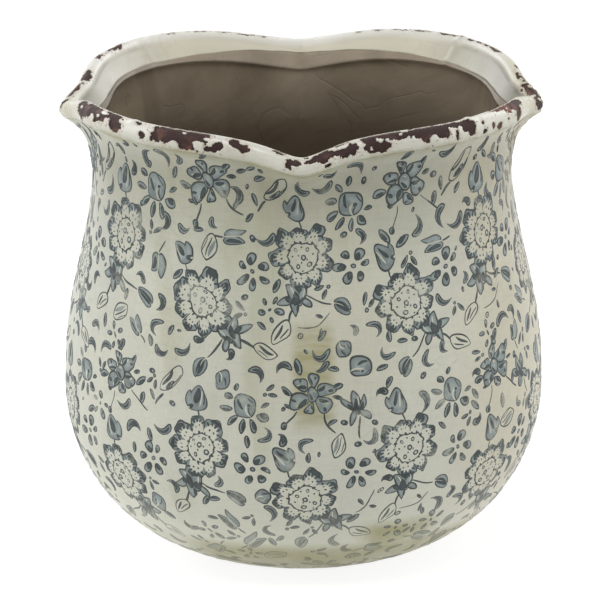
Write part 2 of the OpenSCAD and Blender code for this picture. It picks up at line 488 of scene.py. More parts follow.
class Finish:
    """One material: a colour laid over in layers, and the surface that carries it."""

    # Where a Mix node keeps its factor, its two colours and its result.
    FACTOR, FIRST, SECOND, RESULT = 0, 6, 7, 2
    COAT_ROUGHNESS = 0.18

    def __init__(self, name):
        self.material = bpy.data.materials.new(name)
        self.tree = new_tree(self.material)
        self.place = self.node("ShaderNodeTexCoord", {})["Object"]
        self.x, self.y, self.z = self.node("ShaderNodeSeparateXYZ", {0: self.place})
        self.base = None

    def node(self, kind, inputs, **options):
        return add_node(self.tree, kind, inputs, **options)

    def mapped(self, stretch=(1, 1, 1), shift=(0, 0, 0)):
        return self.node("ShaderNodeMapping", {"Vector": self.place, "Scale": stretch, "Location": shift})[0]

    def noise(self, scale, detail=3, rough=0.5, distortion=0, **place):
        return self.node("ShaderNodeTexNoise", {
            "Vector": self.mapped(**place) if place else self.place,
            "Scale": scale, "Detail": detail, "Roughness": rough, "Distortion": distortion,
        })["Fac"]

    def attribute(self, name):
        return self.node("ShaderNodeAttribute", {}, attribute_name=name)["Fac"]

    def ramp(self, value, low, high, to_low=0, to_high=1, kind="SMOOTHSTEP"):
        ends = {"From Min": low, "From Max": high, "To Min": to_low, "To Max": to_high}
        return self.node("ShaderNodeMapRange", {"Value": value, **ends}, interpolation_type=kind)["Result"]

    def window(self, value, low, high, soft):
        """1 between two values, fading out over a length."""
        return self.times(self.ramp(value, low - soft, low + soft), self.ramp(value, high - soft, high + soft, 1, 0))

    def math(self, operation, a, b=0):
        return self.node("ShaderNodeMath", {0: a, 1: b}, operation=operation)[0]

    def times(self, *values):
        return functools.reduce(lambda a, b: self.math("MULTIPLY", a, b), values)

    def most(self, *values):
        return functools.reduce(lambda a, b: self.math("MAXIMUM", a, b), values)

    def mix(self, factor, first, second, blend="MIX"):
        inputs = {self.FACTOR: factor}
        for key, value in ((self.FIRST, first), (self.SECOND, second)):
            inputs[key] = value if isinstance(value, bpy.types.NodeSocket) else (*value, 1)
        return self.node("ShaderNodeMix", inputs, data_type="RGBA", blend_type=blend)[self.RESULT]

    def cover(self, factor, colour):
        """Lays a colour over the base."""
        self.base = self.mix(factor, self.base, colour)

    def darken(self, factor, colour):
        """Multiplies the base by a colour."""
        self.base = self.mix(factor, self.base, colour, "MULTIPLY")

    def bump(self, height, distance, strength=1, **normal):
        inputs = {"Height": height, "Distance": distance, "Strength": strength, **normal}
        return self.node("ShaderNodeBump", inputs)[0]

    def done(self, roughness, normal, coat=0, specular=0.5):
        surface = self.node("ShaderNodeBsdfPrincipled", {
            "Base Color": self.base, "Roughness": roughness, "Normal": normal, "Coat Weight": coat,
            "Coat Roughness": self.COAT_ROUGHNESS, "Specular IOR Level": specular,
        })
        self.node("ShaderNodeOutputMaterial", {"Surface": surface[0]})
        return self.material


def cream_ground(m, c, lip=False):
    """Lays the cream glaze with its clouds, cloth-like grain, crazing and stains.

    Painted light makes the ground paler towards the bottom. Painted shade makes it darker and greyer round the neck
    and darker and warmer at the right, but not on the lip.
    Returns the noise that makes the stains uneven.
    """
    m.base = m.mix(m.ramp(m.noise(17, 4, 0.55, 0.4), 0.35, 0.66), c.cream, c.cream_grey)
    m.cover(m.ramp(m.noise(9, shift=(0.4, 0.1, 0.7)), 0.48, 0.7, 0, 0.75), c.cream_warm)
    streaks = m.noise(95, 3, 0.6, stretch=(1, 1, 7))
    m.cover(m.ramp(streaks, 0.42, 0.72, 0, 0.16), (0.52, 0.52, 0.44))
    warp = m.noise(1300, 2, 0.7, stretch=(1, 1, 0.12))
    weft = m.noise(1300, 2, 0.7, stretch=(0.12, 0.12, 1))
    m.cover(m.ramp(m.times(warp, weft), 0.16, 0.34, 0.13, 0), (0.42, 0.42, 0.36))
    cells = {"Vector": m.mapped(shift=(0.3, 0.3, 0.3)), "Scale": 150}
    craze = m.node("ShaderNodeTexVoronoi", cells, feature="DISTANCE_TO_EDGE")["Distance"]
    m.cover(m.times(m.ramp(craze, 0, 0.035, 0.2, 0), m.ramp(m.noise(24, 2), 0.45, 0.62)), (0.36, 0.33, 0.24))
    specks = m.ramp(m.noise(620, 2, 0.6), 0.7, 0.76, 0, 0.35)
    m.cover(specks, (0.4, 0.35, 0.25))
    uneven = m.noise(55, 4, 0.7, 0.6)
    front = m.ramp(m.y, -0.075, -0.05, 1, 0)
    brushed = m.noise(150, 3, 0.6, stretch=(0.2, 0.2, 1))
    strip = m.times(
        m.window(m.x, -0.004, 0.0118, 0.003), m.window(m.z, 0.077, 0.116, 0.006),
        front, m.ramp(brushed, 0.3, 0.62, 0.35, 0.95),
    )
    foot = m.times(
        m.ramp(m.z, 0.0158, 0.0235, 1, 0), m.ramp(uneven, 0.3, 0.6, 0.85), m.ramp(m.x, -0.052, -0.034, 0.3)
    )
    right = m.times(
        m.window(m.x, 0.024, 0.054, 0.007), m.ramp(m.z, 0.0265, 0.0342, 1, 0),
        front, m.ramp(uneven, 0.33, 0.6, 0.72),
    )
    drips = m.noise(30, stretch=(1, 1, 0.25), shift=(0.2, 0.6, 0))
    stain = m.most(strip, foot, right, m.times(m.ramp(drips, 0.6, 0.72), 0.28))
    # Painted light: the ground is paler towards the bottom.
    m.cover(m.ramp(m.z, 0.012, 0.105, 0.46, 0, "LINEAR"), (0.92, 0.92, 0.765))
    m.cover(m.times(stain, 0.92), c.stain)
    if not lip:
        # Painted shade: darker and greyer round the neck, under the lip.
        neck = m.times(m.ramp(m.z, 0.134, 0.173, kind="LINEAR"), m.ramp(m.z, 0.172, 0.187, 1, 0.6))
        m.darken(neck, (0.715, 0.7, 0.64))
        # Painted shade: darker and warmer towards the right.
        m.darken(m.ramp(m.x, 0.045, 0.088), (0.925, 0.865, 0.8))
    return uneven


def glaze_bump(m):
    wide = m.bump(m.noise(70, 2, 0.4), 0.0007, 0.6)
    return m.bump(m.noise(900, 2), 0.00005, 0.5, Normal=wide)


def olive_crease(m, c, uneven):
    """Lays olive ochre, unevenly, into the crease under the lip."""
    m.cover(m.times(m.attribute("crease"), m.ramp(uneven, 0.36, 0.6, 0.1, 0.75)), c.stain)


def cream_glaze_finish(c):
    m = Finish("cream glaze")
    uneven = cream_ground(m, c)
    olive_crease(m, c, uneven)
    return m.done(m.ramp(uneven, 0.3, 0.7, 0.34, 0.46), glaze_bump(m), coat=0.12)


def lip_glaze_finish(c):
    m = Finish("worn lip glaze")
    uneven = cream_ground(m, c, lip=True)
    thick, inner, near = (m.attribute(name) for name in ("thick", "inner", "worn"))
    to_left = m.times(m.x, -1)
    m.cover(m.times(thick, m.ramp(m.noise(40), 0.3, 0.6, 0.72)), c.lip_white)
    # Painted light: the top of the roll at the back is made paler.
    back = m.times(m.ramp(m.y, -0.03, 0.05), m.ramp(m.x, 0.045, 0.072, 1, 0))
    m.cover(m.times(thick, back), (0.97, 0.95, 0.86))
    m.cover(m.times(inner, 0.85), c.band)
    # Painted shade: the inner band is darker towards the left and the right.
    shade_aside = m.most(m.math("SUBTRACT", m.times(m.x, 1.3), 0.013), to_left)
    m.darken(m.times(inner, m.ramp(shade_aside, 0.053, 0.1, kind="LINEAR")), (0.27, 0.27, 0.27))
    # Painted shade: the lip glaze is darker at the left and right beaks.
    shaded_beaks = m.most(m.math("ADD", m.x, 0.008), to_left)
    m.darken(m.ramp(shaded_beaks, 0.089, 0.097), (0.83, 0.8, 0.7))
    olive_crease(m, c, uneven)
    edge = m.times(m.ramp(near, 0.25, 1), m.ramp(m.noise(420, 4, 0.65), 0.4, 0.56, 0.05))
    m.cover(m.times(edge, 0.42), c.scorch)
    flecks = m.times(m.ramp(m.noise(760, 3, 0.6, shift=(0.1, 0.5, 0.2)), 0.62, 0.66), m.ramp(near, 0.05, 0.7))
    m.cover(m.times(flecks, 0.85), (0.16, 0.09, 0.075))
    return m.done(m.ramp(uneven, 0.3, 0.7, 0.24, 0.38), glaze_bump(m), coat=0.3)


def slip_finish(c):
    m = Finish("dark slip")
    patches = m.noise(150, 4, 0.6, 0.5)
    m.base = m.mix(m.ramp(patches, 0.52, 0.74), c.slip_dark, c.slip_rubbed)
    beak = m.times(m.window(m.x, 0.071, 0.088, 0.005), m.window(m.y, -0.062, -0.038, 0.004))
    red = m.times(beak, m.ramp(m.z, 0.1895, 0.192), m.ramp(patches, 0.38, 0.6))
    m.cover(red, (0.2, 0.075, 0.052))
    m.cover(m.ramp(m.noise(1500, 3, 0.6), 0.66, 0.74, 0, 0.4), (0.36, 0.25, 0.2))
    dents = m.bump(m.noise(600, 4, 0.6), 0.00022, 0.9)
    return m.done(m.ramp(patches, 0.4, 0.7, 0.68, 0.5), dents, specular=0.3)


def lining_finish(c):
    """Taupe glaze with darker runs, faint crests and wavy folds, darker towards the bottom as painted shade and
    darker at the sides near the top as painted shade.
    """
    m = Finish("taupe lining")
    runs = m.noise(11, 5, 0.62, 1.4, stretch=(1, 1, 1.8))
    m.base = m.mix(m.ramp(runs, 0.38, 0.62), c.lining, c.lining_dark)
    bands = {"Vector": m.place, "Scale": 6, "Distortion": 9, "Detail": 3, "Detail Scale": 1.1}
    waves = m.node("ShaderNodeTexWave", bands, wave_type="BANDS", bands_direction="DIAGONAL")["Fac"]
    crest = m.times(m.ramp(waves, 0.9, 0.99), m.ramp(m.noise(26, 2), 0.46, 0.62))
    m.cover(m.times(crest, 0.45), (0.17, 0.135, 0.09))
    winding = m.noise(20, 3, 0.5, 0.9, stretch=(1, 1, 1.8), shift=(0.7, 0.2, 0.4))
    away = m.math("ABSOLUTE", m.math("SUBTRACT", winding, 0.5))
    patches = m.ramp(m.noise(19, 2, shift=(0.1, 0.9, 0.3)), 0.38, 0.6)
    folds = m.times(m.ramp(away, 0, 0.015, 1, 0), patches)
    m.cover(m.times(folds, 0.24), (0.15, 0.12, 0.08))
    # Painted shade: darker downwards from under the lip.
    m.darken(m.ramp(m.z, 0.146, 0.177, 0.84, 0), (0.42, 0.4, 0.38))
    # Painted shade: darker at the left and right near the top of the lining.
    side = m.times(m.ramp(m.math("ABSOLUTE", m.x), 0.064, 0.082, 0, 0.85), m.ramp(m.z, 0.171, 0.177))
    m.darken(side, (0.62, 0.6, 0.58))
    m.cover(m.ramp(m.noise(800, 2), 0.68, 0.74, 0, 0.4), (0.12, 0.1, 0.08))
    relief = m.math("SUBTRACT", m.math("ADD", crest, m.times(runs, 1.5)), m.times(folds, 0.22))
    return m.done(m.ramp(runs, 0.35, 0.65, 0.4, 0.52), m.bump(relief, 0.0006, 0.6), coat=0.08)


def clay_finish(c):
    m = Finish("fired clay")
    m.base = m.mix(m.ramp(m.noise(45, 4), 0.35, 0.65), c.clay, (0.44, 0.34, 0.24))
    m.cover(m.ramp(m.noise(1100, 3, 0.7), 0.58, 0.7, 0, 0.5), (0.27, 0.2, 0.14))
    return m.done(0.86, m.bump(m.noise(1600, 3, 0.6), 0.00018, 0.8), specular=0.25)


def ink_finish(c, name, light, dark, most_worn):
    """Ink in the glaze: darker in blotches and towards its edges, fainter where it has worn off."""
    m = Finish(name)
    cream_ground(m, c)
    blotches = m.ramp(m.noise(130, 4, 0.62), 0.42, 0.64)
    rim = m.ramp(m.attribute("edge"), 0.25, 1, 0, 0.62)
    tone = m.mix(m.most(m.times(blotches, 0.85), rim), light, dark)
    worn = m.ramp(m.noise(75, 4, 0.7, shift=(0.5, 0.2, 0.4)), 0.52, 0.74, 0.02, most_worn)
    low = m.ramp(m.z, 0.004, 0.05, 0.58, 0)
    rubbed = m.times(m.window(m.x, 0.083, 0.12, 0.005), m.ramp(m.z, 0.138, 0.156, 0, 0.8))
    m.base = m.mix(m.most(worn, low, rubbed), tone, m.base)
    return m.done(0.46, glaze_bump(m), specular=0.28)


def reserve_finish(c):
    m = Finish("bare ground in the print")
    cream_ground(m, c)
    return m.done(0.4, glaze_bump(m), coat=0.12)


# ---- Worn patches of the lip ----

def rows(text):
    """A table written as text: a comma or a line ends a row, and a word that isn't a number stays a word."""
    table = (row.split() for row in text.replace(",", "\n").splitlines())
    return tuple(tuple(word if word[0].isalpha() else float(word) for word in row) for row in table if row)


# Places where the glaze is worn off the roll: direction round the pot and its half
# width, angle round the roll (0 outside, 90 on top) and its half width, in degrees.
WORN = rows("""
    196 5 66 44, 200.5 7.5 34 56, 206.5 5 80 36, 210.5 5.5 48 50, 217 4.2 72 40, 219.5 3 20 34, 229 1.3 8 16
    227 1.2 74 14, 233.2 2.2 18 34, 236.5 4.5 52 64, 241.5 4.5 40 72, 245 2.4 62 44, 249.2 1.4 18 26
    247.6 1.7 -6 16, 253 1.4 58 34, 255.4 1.8 30 26, 264.6 1.8 86 22, 268.2 1.4 40 20, 266.9 0.9 8 16
    272.2 1.8 44 16, 271 0.8 78 14, 274.6 2.2 52 44, 278 3 66 52, 281.4 2.7 30 44, 280.6 1.6 92 18
    276.3 0.8 -10 9, 287 2.2 56 62, 289.6 2.2 10 38, 291.2 3.2 76 34, 294.4 3 62 38, 298.6 3 66 48
    302.4 3.2 48 56, 305.6 2.4 46 50, 309 3.4 74 36, 312.8 2 48 44, 314.6 1.5 30 30, 314.2 1.6 12 40
    309.8 0.7 0 26, 318.6 0.5 30 24, 319.2 0.9 -14 10, 322.3 0.6 -8 28, 325.4 1.4 -14 18, 329.6 0.6 2 12
    327.5 4.5 92 36, 334 5.2 70 58, 339.5 3 76 44, 336.6 2 8 48, 356.6 2.6 34 44, 359.6 3.2 30 60
    363 3.6 80 60, 369.8 3 84 27, 376.5 1.2 66 12, 390.3 3.4 89 25, 394.8 1.7 87 19, 397.8 2.1 87 20
    401.2 1.6 89 22, 406.3 2.3 89 21, 410.4 2.1 91 23, 417 2.5 92 21, 422.8 2.7 92 21, 429.3 1.5 92 21
    434.3 1.2 91 21, 460.3 1.5 91 21, 464.9 2.6 89 27, 470.7 1.8 91 22, 477.3 1.8 89 20, 480.5 0.8 87 17
    486 2.3 89 20, 506 4.6 84 46, 514.5 1.8 82 31, 527.5 3.5 85 42, 535 3.2 74 30, 540.5 1.1 50 48
    386 4.6 20 40, 404 3 4 30, 419 5.6 28 42, 436 2.4 10 26, 446 3.6 34 34, 456 1.8 16 22, 467 4.4 22 40
    483 3 30 36, 495 4.8 12 34, 508 2.2 34 28, 524 3.2 14 34
""")
# Islands of glaze that stayed inside worn patches, given the same way.
LEFT_ON = rows("""
    198.4 1.3 40 9, 208.8 1.1 10 22, 213.6 1.5 66 13, 211.8 0.8 36 8, 238.2 1.3 -12 26, 244.6 1.5 4 26
    246.4 0.8 44 9, 254.2 0.8 8 14, 279.4 2 60 12, 277.4 1 76 8, 289.4 0.9 40 10, 296 1.1 84 10, 303 1.2 6 18
    310.8 0.7 34 16, 333 1.2 22 16, 357.6 0.7 44 12, 361 0.8 52 11, 364.6 0.7 84 11, 359.2 0.6 24 9
    368.6 0.8 90 10, 371.2 0.6 78 8, 294.6 0.5 60 8, 240.4 0.5 62 7, 308.6 0.9 96 8
""")
# Strength and fineness of the roughness of their edges.
ROUGH = ((0.34, 330), (0.3, 760), (0.24, 1600))


def patch_depths(turn, roll, places):
    """How far inside each patch every point lies, 1 in its middle, and the patch's half width."""
    for centre, half, middle, reach in places:
        across = (turn - centre + 180) % 360 - 180
        yield 1 - np.sqrt((across / half) ** 2 + ((roll - middle) / reach) ** 2), half


def worn_depth(turn, roll):
    """Above 0 where the glaze is worn off; turn and roll are arrays in degrees."""
    depth = np.full(turn.shape, -9.0)
    for inside, half in patch_depths(turn, roll, WORN):
        depth = np.maximum(depth, inside * min(1.0, 0.35 + half / 4))
    for inside, _ in patch_depths(turn, roll, LEFT_ON):
        depth = np.minimum(depth, np.maximum(-inside * 1.2, -1.0) + 0.05)
    return depth


class LipWear:
    """How worn the glaze is at each place of the roll."""

    def __init__(self, outline, seed):
        self.outline = outline
        self.shifts = (Vector(), Vector((3, 1, seed)), Vector())

    def at(self, co):
        """co are places on the plain, unlobed roll."""
        f = self.outline.form
        radius, turn = round_axis(co)
        roll = np.degrees(np.arctan2(
            (co[:, 2] - f.lip_height) / f.roll_height, (radius - self.outline.lip_r) / f.roll_thickness
        ))
        roll = np.where(roll < -90, roll + 360, roll)
        rough = [
            sum(high * noise.noise(place * fine + shift) for (high, fine), shift in zip(ROUGH, self.shifts))
            for place in map(Vector, co.tolist())
        ]
        return worn_depth(np.degrees(turn) % 360, roll) + np.array(rough) - 0.05


def snap_to_edge(bm, flat, depth):
    """Moves the points next to a worn edge on to it, and sets their depth to 0."""
    bm.verts.ensure_lookup_table()
    snapped = {}
    for edge in bm.edges:
        a, b = edge.verts[0].index, edge.verts[1].index
        if (depth[a] > 0) != (depth[b] > 0):
            cut = depth[a] / (depth[a] - depth[b])
            keep, part = (a, cut) if cut < 0.5 else (b, 1 - cut)
            if keep not in snapped or part < snapped[keep][0]:
                snapped[keep] = (part, flat[a] + (flat[b] - flat[a]) * cut)
    for index, (_, place) in snapped.items():
        bm.verts[index].co = place
        depth[index] = 0


def worn_lip_mesh(outline, wear, around, steps):
    """The glaze of the lip with real holes where it has worn through to the slip."""
    line = outline.lip_line(steps)
    bm = turned("worn_lip", line, around)
    flat = np.array([v.co[:] for v in bm.verts])
    depth = wear.at(flat)
    first_radius, first_height = line[0]
    end = np.isclose(flat[:, 2], first_height, atol=1e-6) & np.isclose(
        np.hypot(flat[:, 0], flat[:, 1]), first_radius, atol=1e-6
    )
    depth[end] = np.minimum(depth[end], -0.2)
    snap_to_edge(bm, flat, depth)
    gone = [f for f in bm.faces if max(depth[v.index] for v in f.verts) > 0]
    bmesh.ops.delete(bm, geom=gone, context="FACES")
    stray = [f for f in bm.faces if all(len(e.link_faces) == 1 for e in f.edges)]
    bmesh.ops.delete(bm, geom=stray, context="FACES")
    bmesh.ops.recalc_face_normals(bm, faces=bm.faces)
    top = max(bm.faces, key=lambda f: f.calc_center_median().z)
    if top.normal.z < 0:
        bmesh.ops.reverse_faces(bm, faces=bm.faces)
    return bm


# ---- The printed flowers ----

LINE, WASH, GROUND = "line", "wash", "ground"
# Inks of a mark: washed or open ground inside an outline, and line ink, wash or bare ground on its own.
OUTLINED = {"W": WASH, "O": GROUND}
PLAIN = {"K": LINE, "T": WASH, "B": GROUND}
# Forms of a mark: how pointed its ends are, and the number and depth of its ripples.
FORMS = {
    "OVAL": (1.0, 0, 0), "LEAF": (1.3, 0, 0), "STEM": (0.55, 0, 0),
    "KNOB": (0.95, 3, 0.13), "LACE": (1.0, 11, 0.045), "SQUARE": (1.0, 4, 0.06), "LOBED": (1.0, 5, 0.08),
}
# A mark's place, half length and half width are in millimetres; level is its height in the pile.
Mark = namedtuple("Mark", "ink form x y half breadth turn level taper bend", defaults=(0, 0, 0, 0))


def spun(x, y, degrees):
    """A place turned about the middle."""
    c, s = math.cos(math.radians(degrees)), math.sin(math.radians(degrees))
    return x * c - y * s, x * s + y * c


def moved(marks, x, y, turn=0, size=1.0):
    """Marks turned, sized and put somewhere else in the same motif."""
    made = []
    for mark in marks:
        across, up = spun(mark.x, mark.y, turn)
        made.append(mark._replace(
            x=x + size * across, y=y + size * up, half=mark.half * size, breadth=mark.breadth * size,
            turn=mark.turn + turn, bend=mark.bend / size,
        ))
    return tuple(made)


def repeated(text, *places):
    """The same marks at several places, which may also give a turn and a size."""
    return tuple(mark for place in places for mark in moved(drawn(text), *place))


def ring(count, reach, start, step, text):
    """Marks repeated round a middle, each turned with its place."""
    made = []
    for i in range(count):
        grow = 1 + 0.17 * math.sin(2.4 * i + start)
        for mark in drawn(text):
            x, y = spun(reach + mark.x * grow, mark.y * grow, start + i * step)
            made.append(mark._replace(
                x=x, y=y, half=mark.half * grow, breadth=mark.breadth * grow,
                turn=mark.turn + start + i * step, bend=mark.bend / grow,
            ))
    return tuple(made)


def leaf(x, y, turn, half=2.7, breadth=1.3):
    """A small outlined leaf with a dark stroke to one side of its middle."""
    across, up = spun(0, breadth * 0.22, turn)
    return (
        Mark("W", "LEAF", x, y, half, breadth, turn, 0, 0.1),
        Mark("K", "LEAF", x + across, y + up, half * 0.6, 0.2 + breadth * 0.16, turn, 1.1, 0, -0.03),
    )


def comma(x, y, turn, half=5.0, breadth=1.5, bend=0.27):
    """A curling leaf with a round head, dark along its inner side."""
    return (
        Mark("W", "OVAL", x, y, half, breadth, turn, 0, 0.72, bend),
        Mark("K", "LEAF", x, y, half * 0.72, 0.42, turn, 1.1, 0.5, bend * 1.06),
    )


def split_leaf(x, y, turn, size=1.0):
    """Two half-moons with bare ground between them."""
    made = ()
    for side, big in ((1, 1.0), (-1, 0.9)):
        off = side * 1.75 * size
        (across, up), (near, low) = spun(0, off, turn), spun(0, off * 0.6, turn)
        made += (
            Mark("W", "LEAF", x + across, y + up, 5.2 * size * big, 1.75 * size, turn, 0, 0.12, -side * 0.13 / size),
            Mark("K", "LEAF", x + near, y + low, 3.8 * size * big, 0.45, turn, 1.1, 0, -side * 0.07 / size),
        )
    return made


def stem(x, y, turn, long, bend=0.0, thick=0.36):
    """A thin line that starts at a point and runs off in a direction."""
    across, up = spun(long / 2, 0, turn)
    return (Mark("K", "STEM", x + across, y + up, long / 2, thick, turn, 0, 0, bend),)


SHAPES = {"leaf": leaf, "comma": comma, "split_leaf": split_leaf, "stem": stem}


def drawn(text):
    """Marks written as rows: each gives the values of a Mark, or one of the shapes with its values."""
    made = ()
    for kind, *values in rows(text):
        made += SHAPES[kind](*values) if kind in SHAPES else (Mark(kind, *values),)
    return made


BUD = drawn("""
    W SQUARE 0 0 5.5 4.9 40 0.3 -0.1, K OVAL -2.2 0.6 2.6 0.5 110 1.2 0 -0.2
    K STEM 2.6 2.6 2 0.28 -46 1.2 0 0.1, B STEM 0.4 -1.9 3.1 0.5 96 1.5 0 -0.26
    K OVAL 1.8 0.5 0.75 0.55 0 2.4, K STEM 1.5 -2.4 2.2 0.28 92 1.8 0 -0.2
""")
ROUNDEL = ring(9, 9.4, 12, 40, """
    W LOBED 0.4 0 4.1 3.8 0 0 0.1, B LACE -1.3 0 3.2 2.6 0 0.8, K LEAF 3.1 0.4 2.7 0.62 94 1.2 0 0.24
    K OVAL 2 0 1.1 0.34 0 1.6, K OVAL 1.7 1.5 1 0.34 34 1.6, K OVAL 1.7 -1.5 1 0.32 -34 1.6
    K OVAL 0.5 2.5 0.8 0.3 64 1.6, K OVAL 0.5 -2.5 0.9 0.3 -64 1.6, K OVAL -0.6 0.9 0.5 0.26 10 1.6
    K OVAL -0.2 -0.8 0.45 0.26 -20 1.6
""") + drawn("O LACE 0 0 6.7 6.5 0 1.4") + ring(17, 6.4, 4, 360 / 17, "K OVAL 0 0 0.75 0.3 16 2.6") + repeated(
    "W LOBED 0 0 1 1 20 2.6, B OVAL 0 0 0.36 0.34 0 3.9", (0.2, 0.4, 0, 1.45), (2.2, 3.3, 0, 1.05),
    (-2.9, 3.1, 0, 1.0), (2.9, -2.6, 0, 1.35), (-2.0, -3.2, 0, 1.15),
) + repeated(
    "K OVAL 0 0 0.42 0.34 0 2.6", (-0.6, -1.6), (4.4, 0.8), (-4.6, 0.2), (0.0, 4.6), (-0.2, -4.9), (-2.2, 0.9),
    (4.1, -4.2), (1.9, -0.4),
)
LEAFAGE = drawn("""
    W LEAF -2.6 0.6 4.6 2.5 128 0.4 -0.2 0.1, W LEAF 1.2 -0.4 4.8 2.3 82 0.9 -0.2 -0.08
    W LEAF -5 -3 3.8 2 24 0.2 0.2 0.12, W LEAF -1.2 -4.6 4.2 2.1 104 0.6 0.2 0.08
    W LEAF 3.8 -3.6 3.4 1.7 -36 0.3 0.2 -0.1, K LEAF -1.3 -1.4 3.2 0.95 100 2.1 -0.3 0.12
    K LEAF 1.6 -2 2.3 0.8 62 2.2 -0.3 -0.14, K LEAF -3.6 -2.2 1.9 0.65 150 1.9 0.2 0.1
    B STEM -2.8 1 2.1 0.3 128 2 0 0.08, K LEAF 0.2 -5.6 1.8 0.6 96 1.9 0 0.1
    B STEM 1.9 0.6 1.9 0.26 84 2.3 0 -0.06
""")
PETALLED_BUD = BUD + drawn("""
    leaf -8 0.6 170 2.5 1.6, leaf -6.6 -4.6 212 2.9 1.7, leaf -2.8 -7.9 250 2.9 1.5, leaf 1.9 -8.2 285 3 1.5
    leaf 6.3 -6 322 3 1.8, leaf 8.2 -1.4 12 2.2 1.3, leaf -5.4 5.6 128 2.6 1.5, leaf -1.8 8 84 1.9 1.2
""")
ROSE = ring(6, 6.1, 20, 60, """
    W KNOB 0 0 3.5 2.9 0 0.2 0.1, K LEAF -0.6 0.9 2 0.55 30 1.5 -0.3 0.2, K OVAL 1.5 -0.9 0.9 0.45 -40 1.5
    B OVAL 0.9 1 0.7 0.35 40 1.7
""") + drawn("""
    W OVAL 0 0 3.3 3.1 0 1.6, K OVAL -1.1 -0.9 1.7 0.4 124 2.9 0 -0.3, B OVAL 1 1.2 0.9 0.4 -40 2.9 0 -0.3
""")

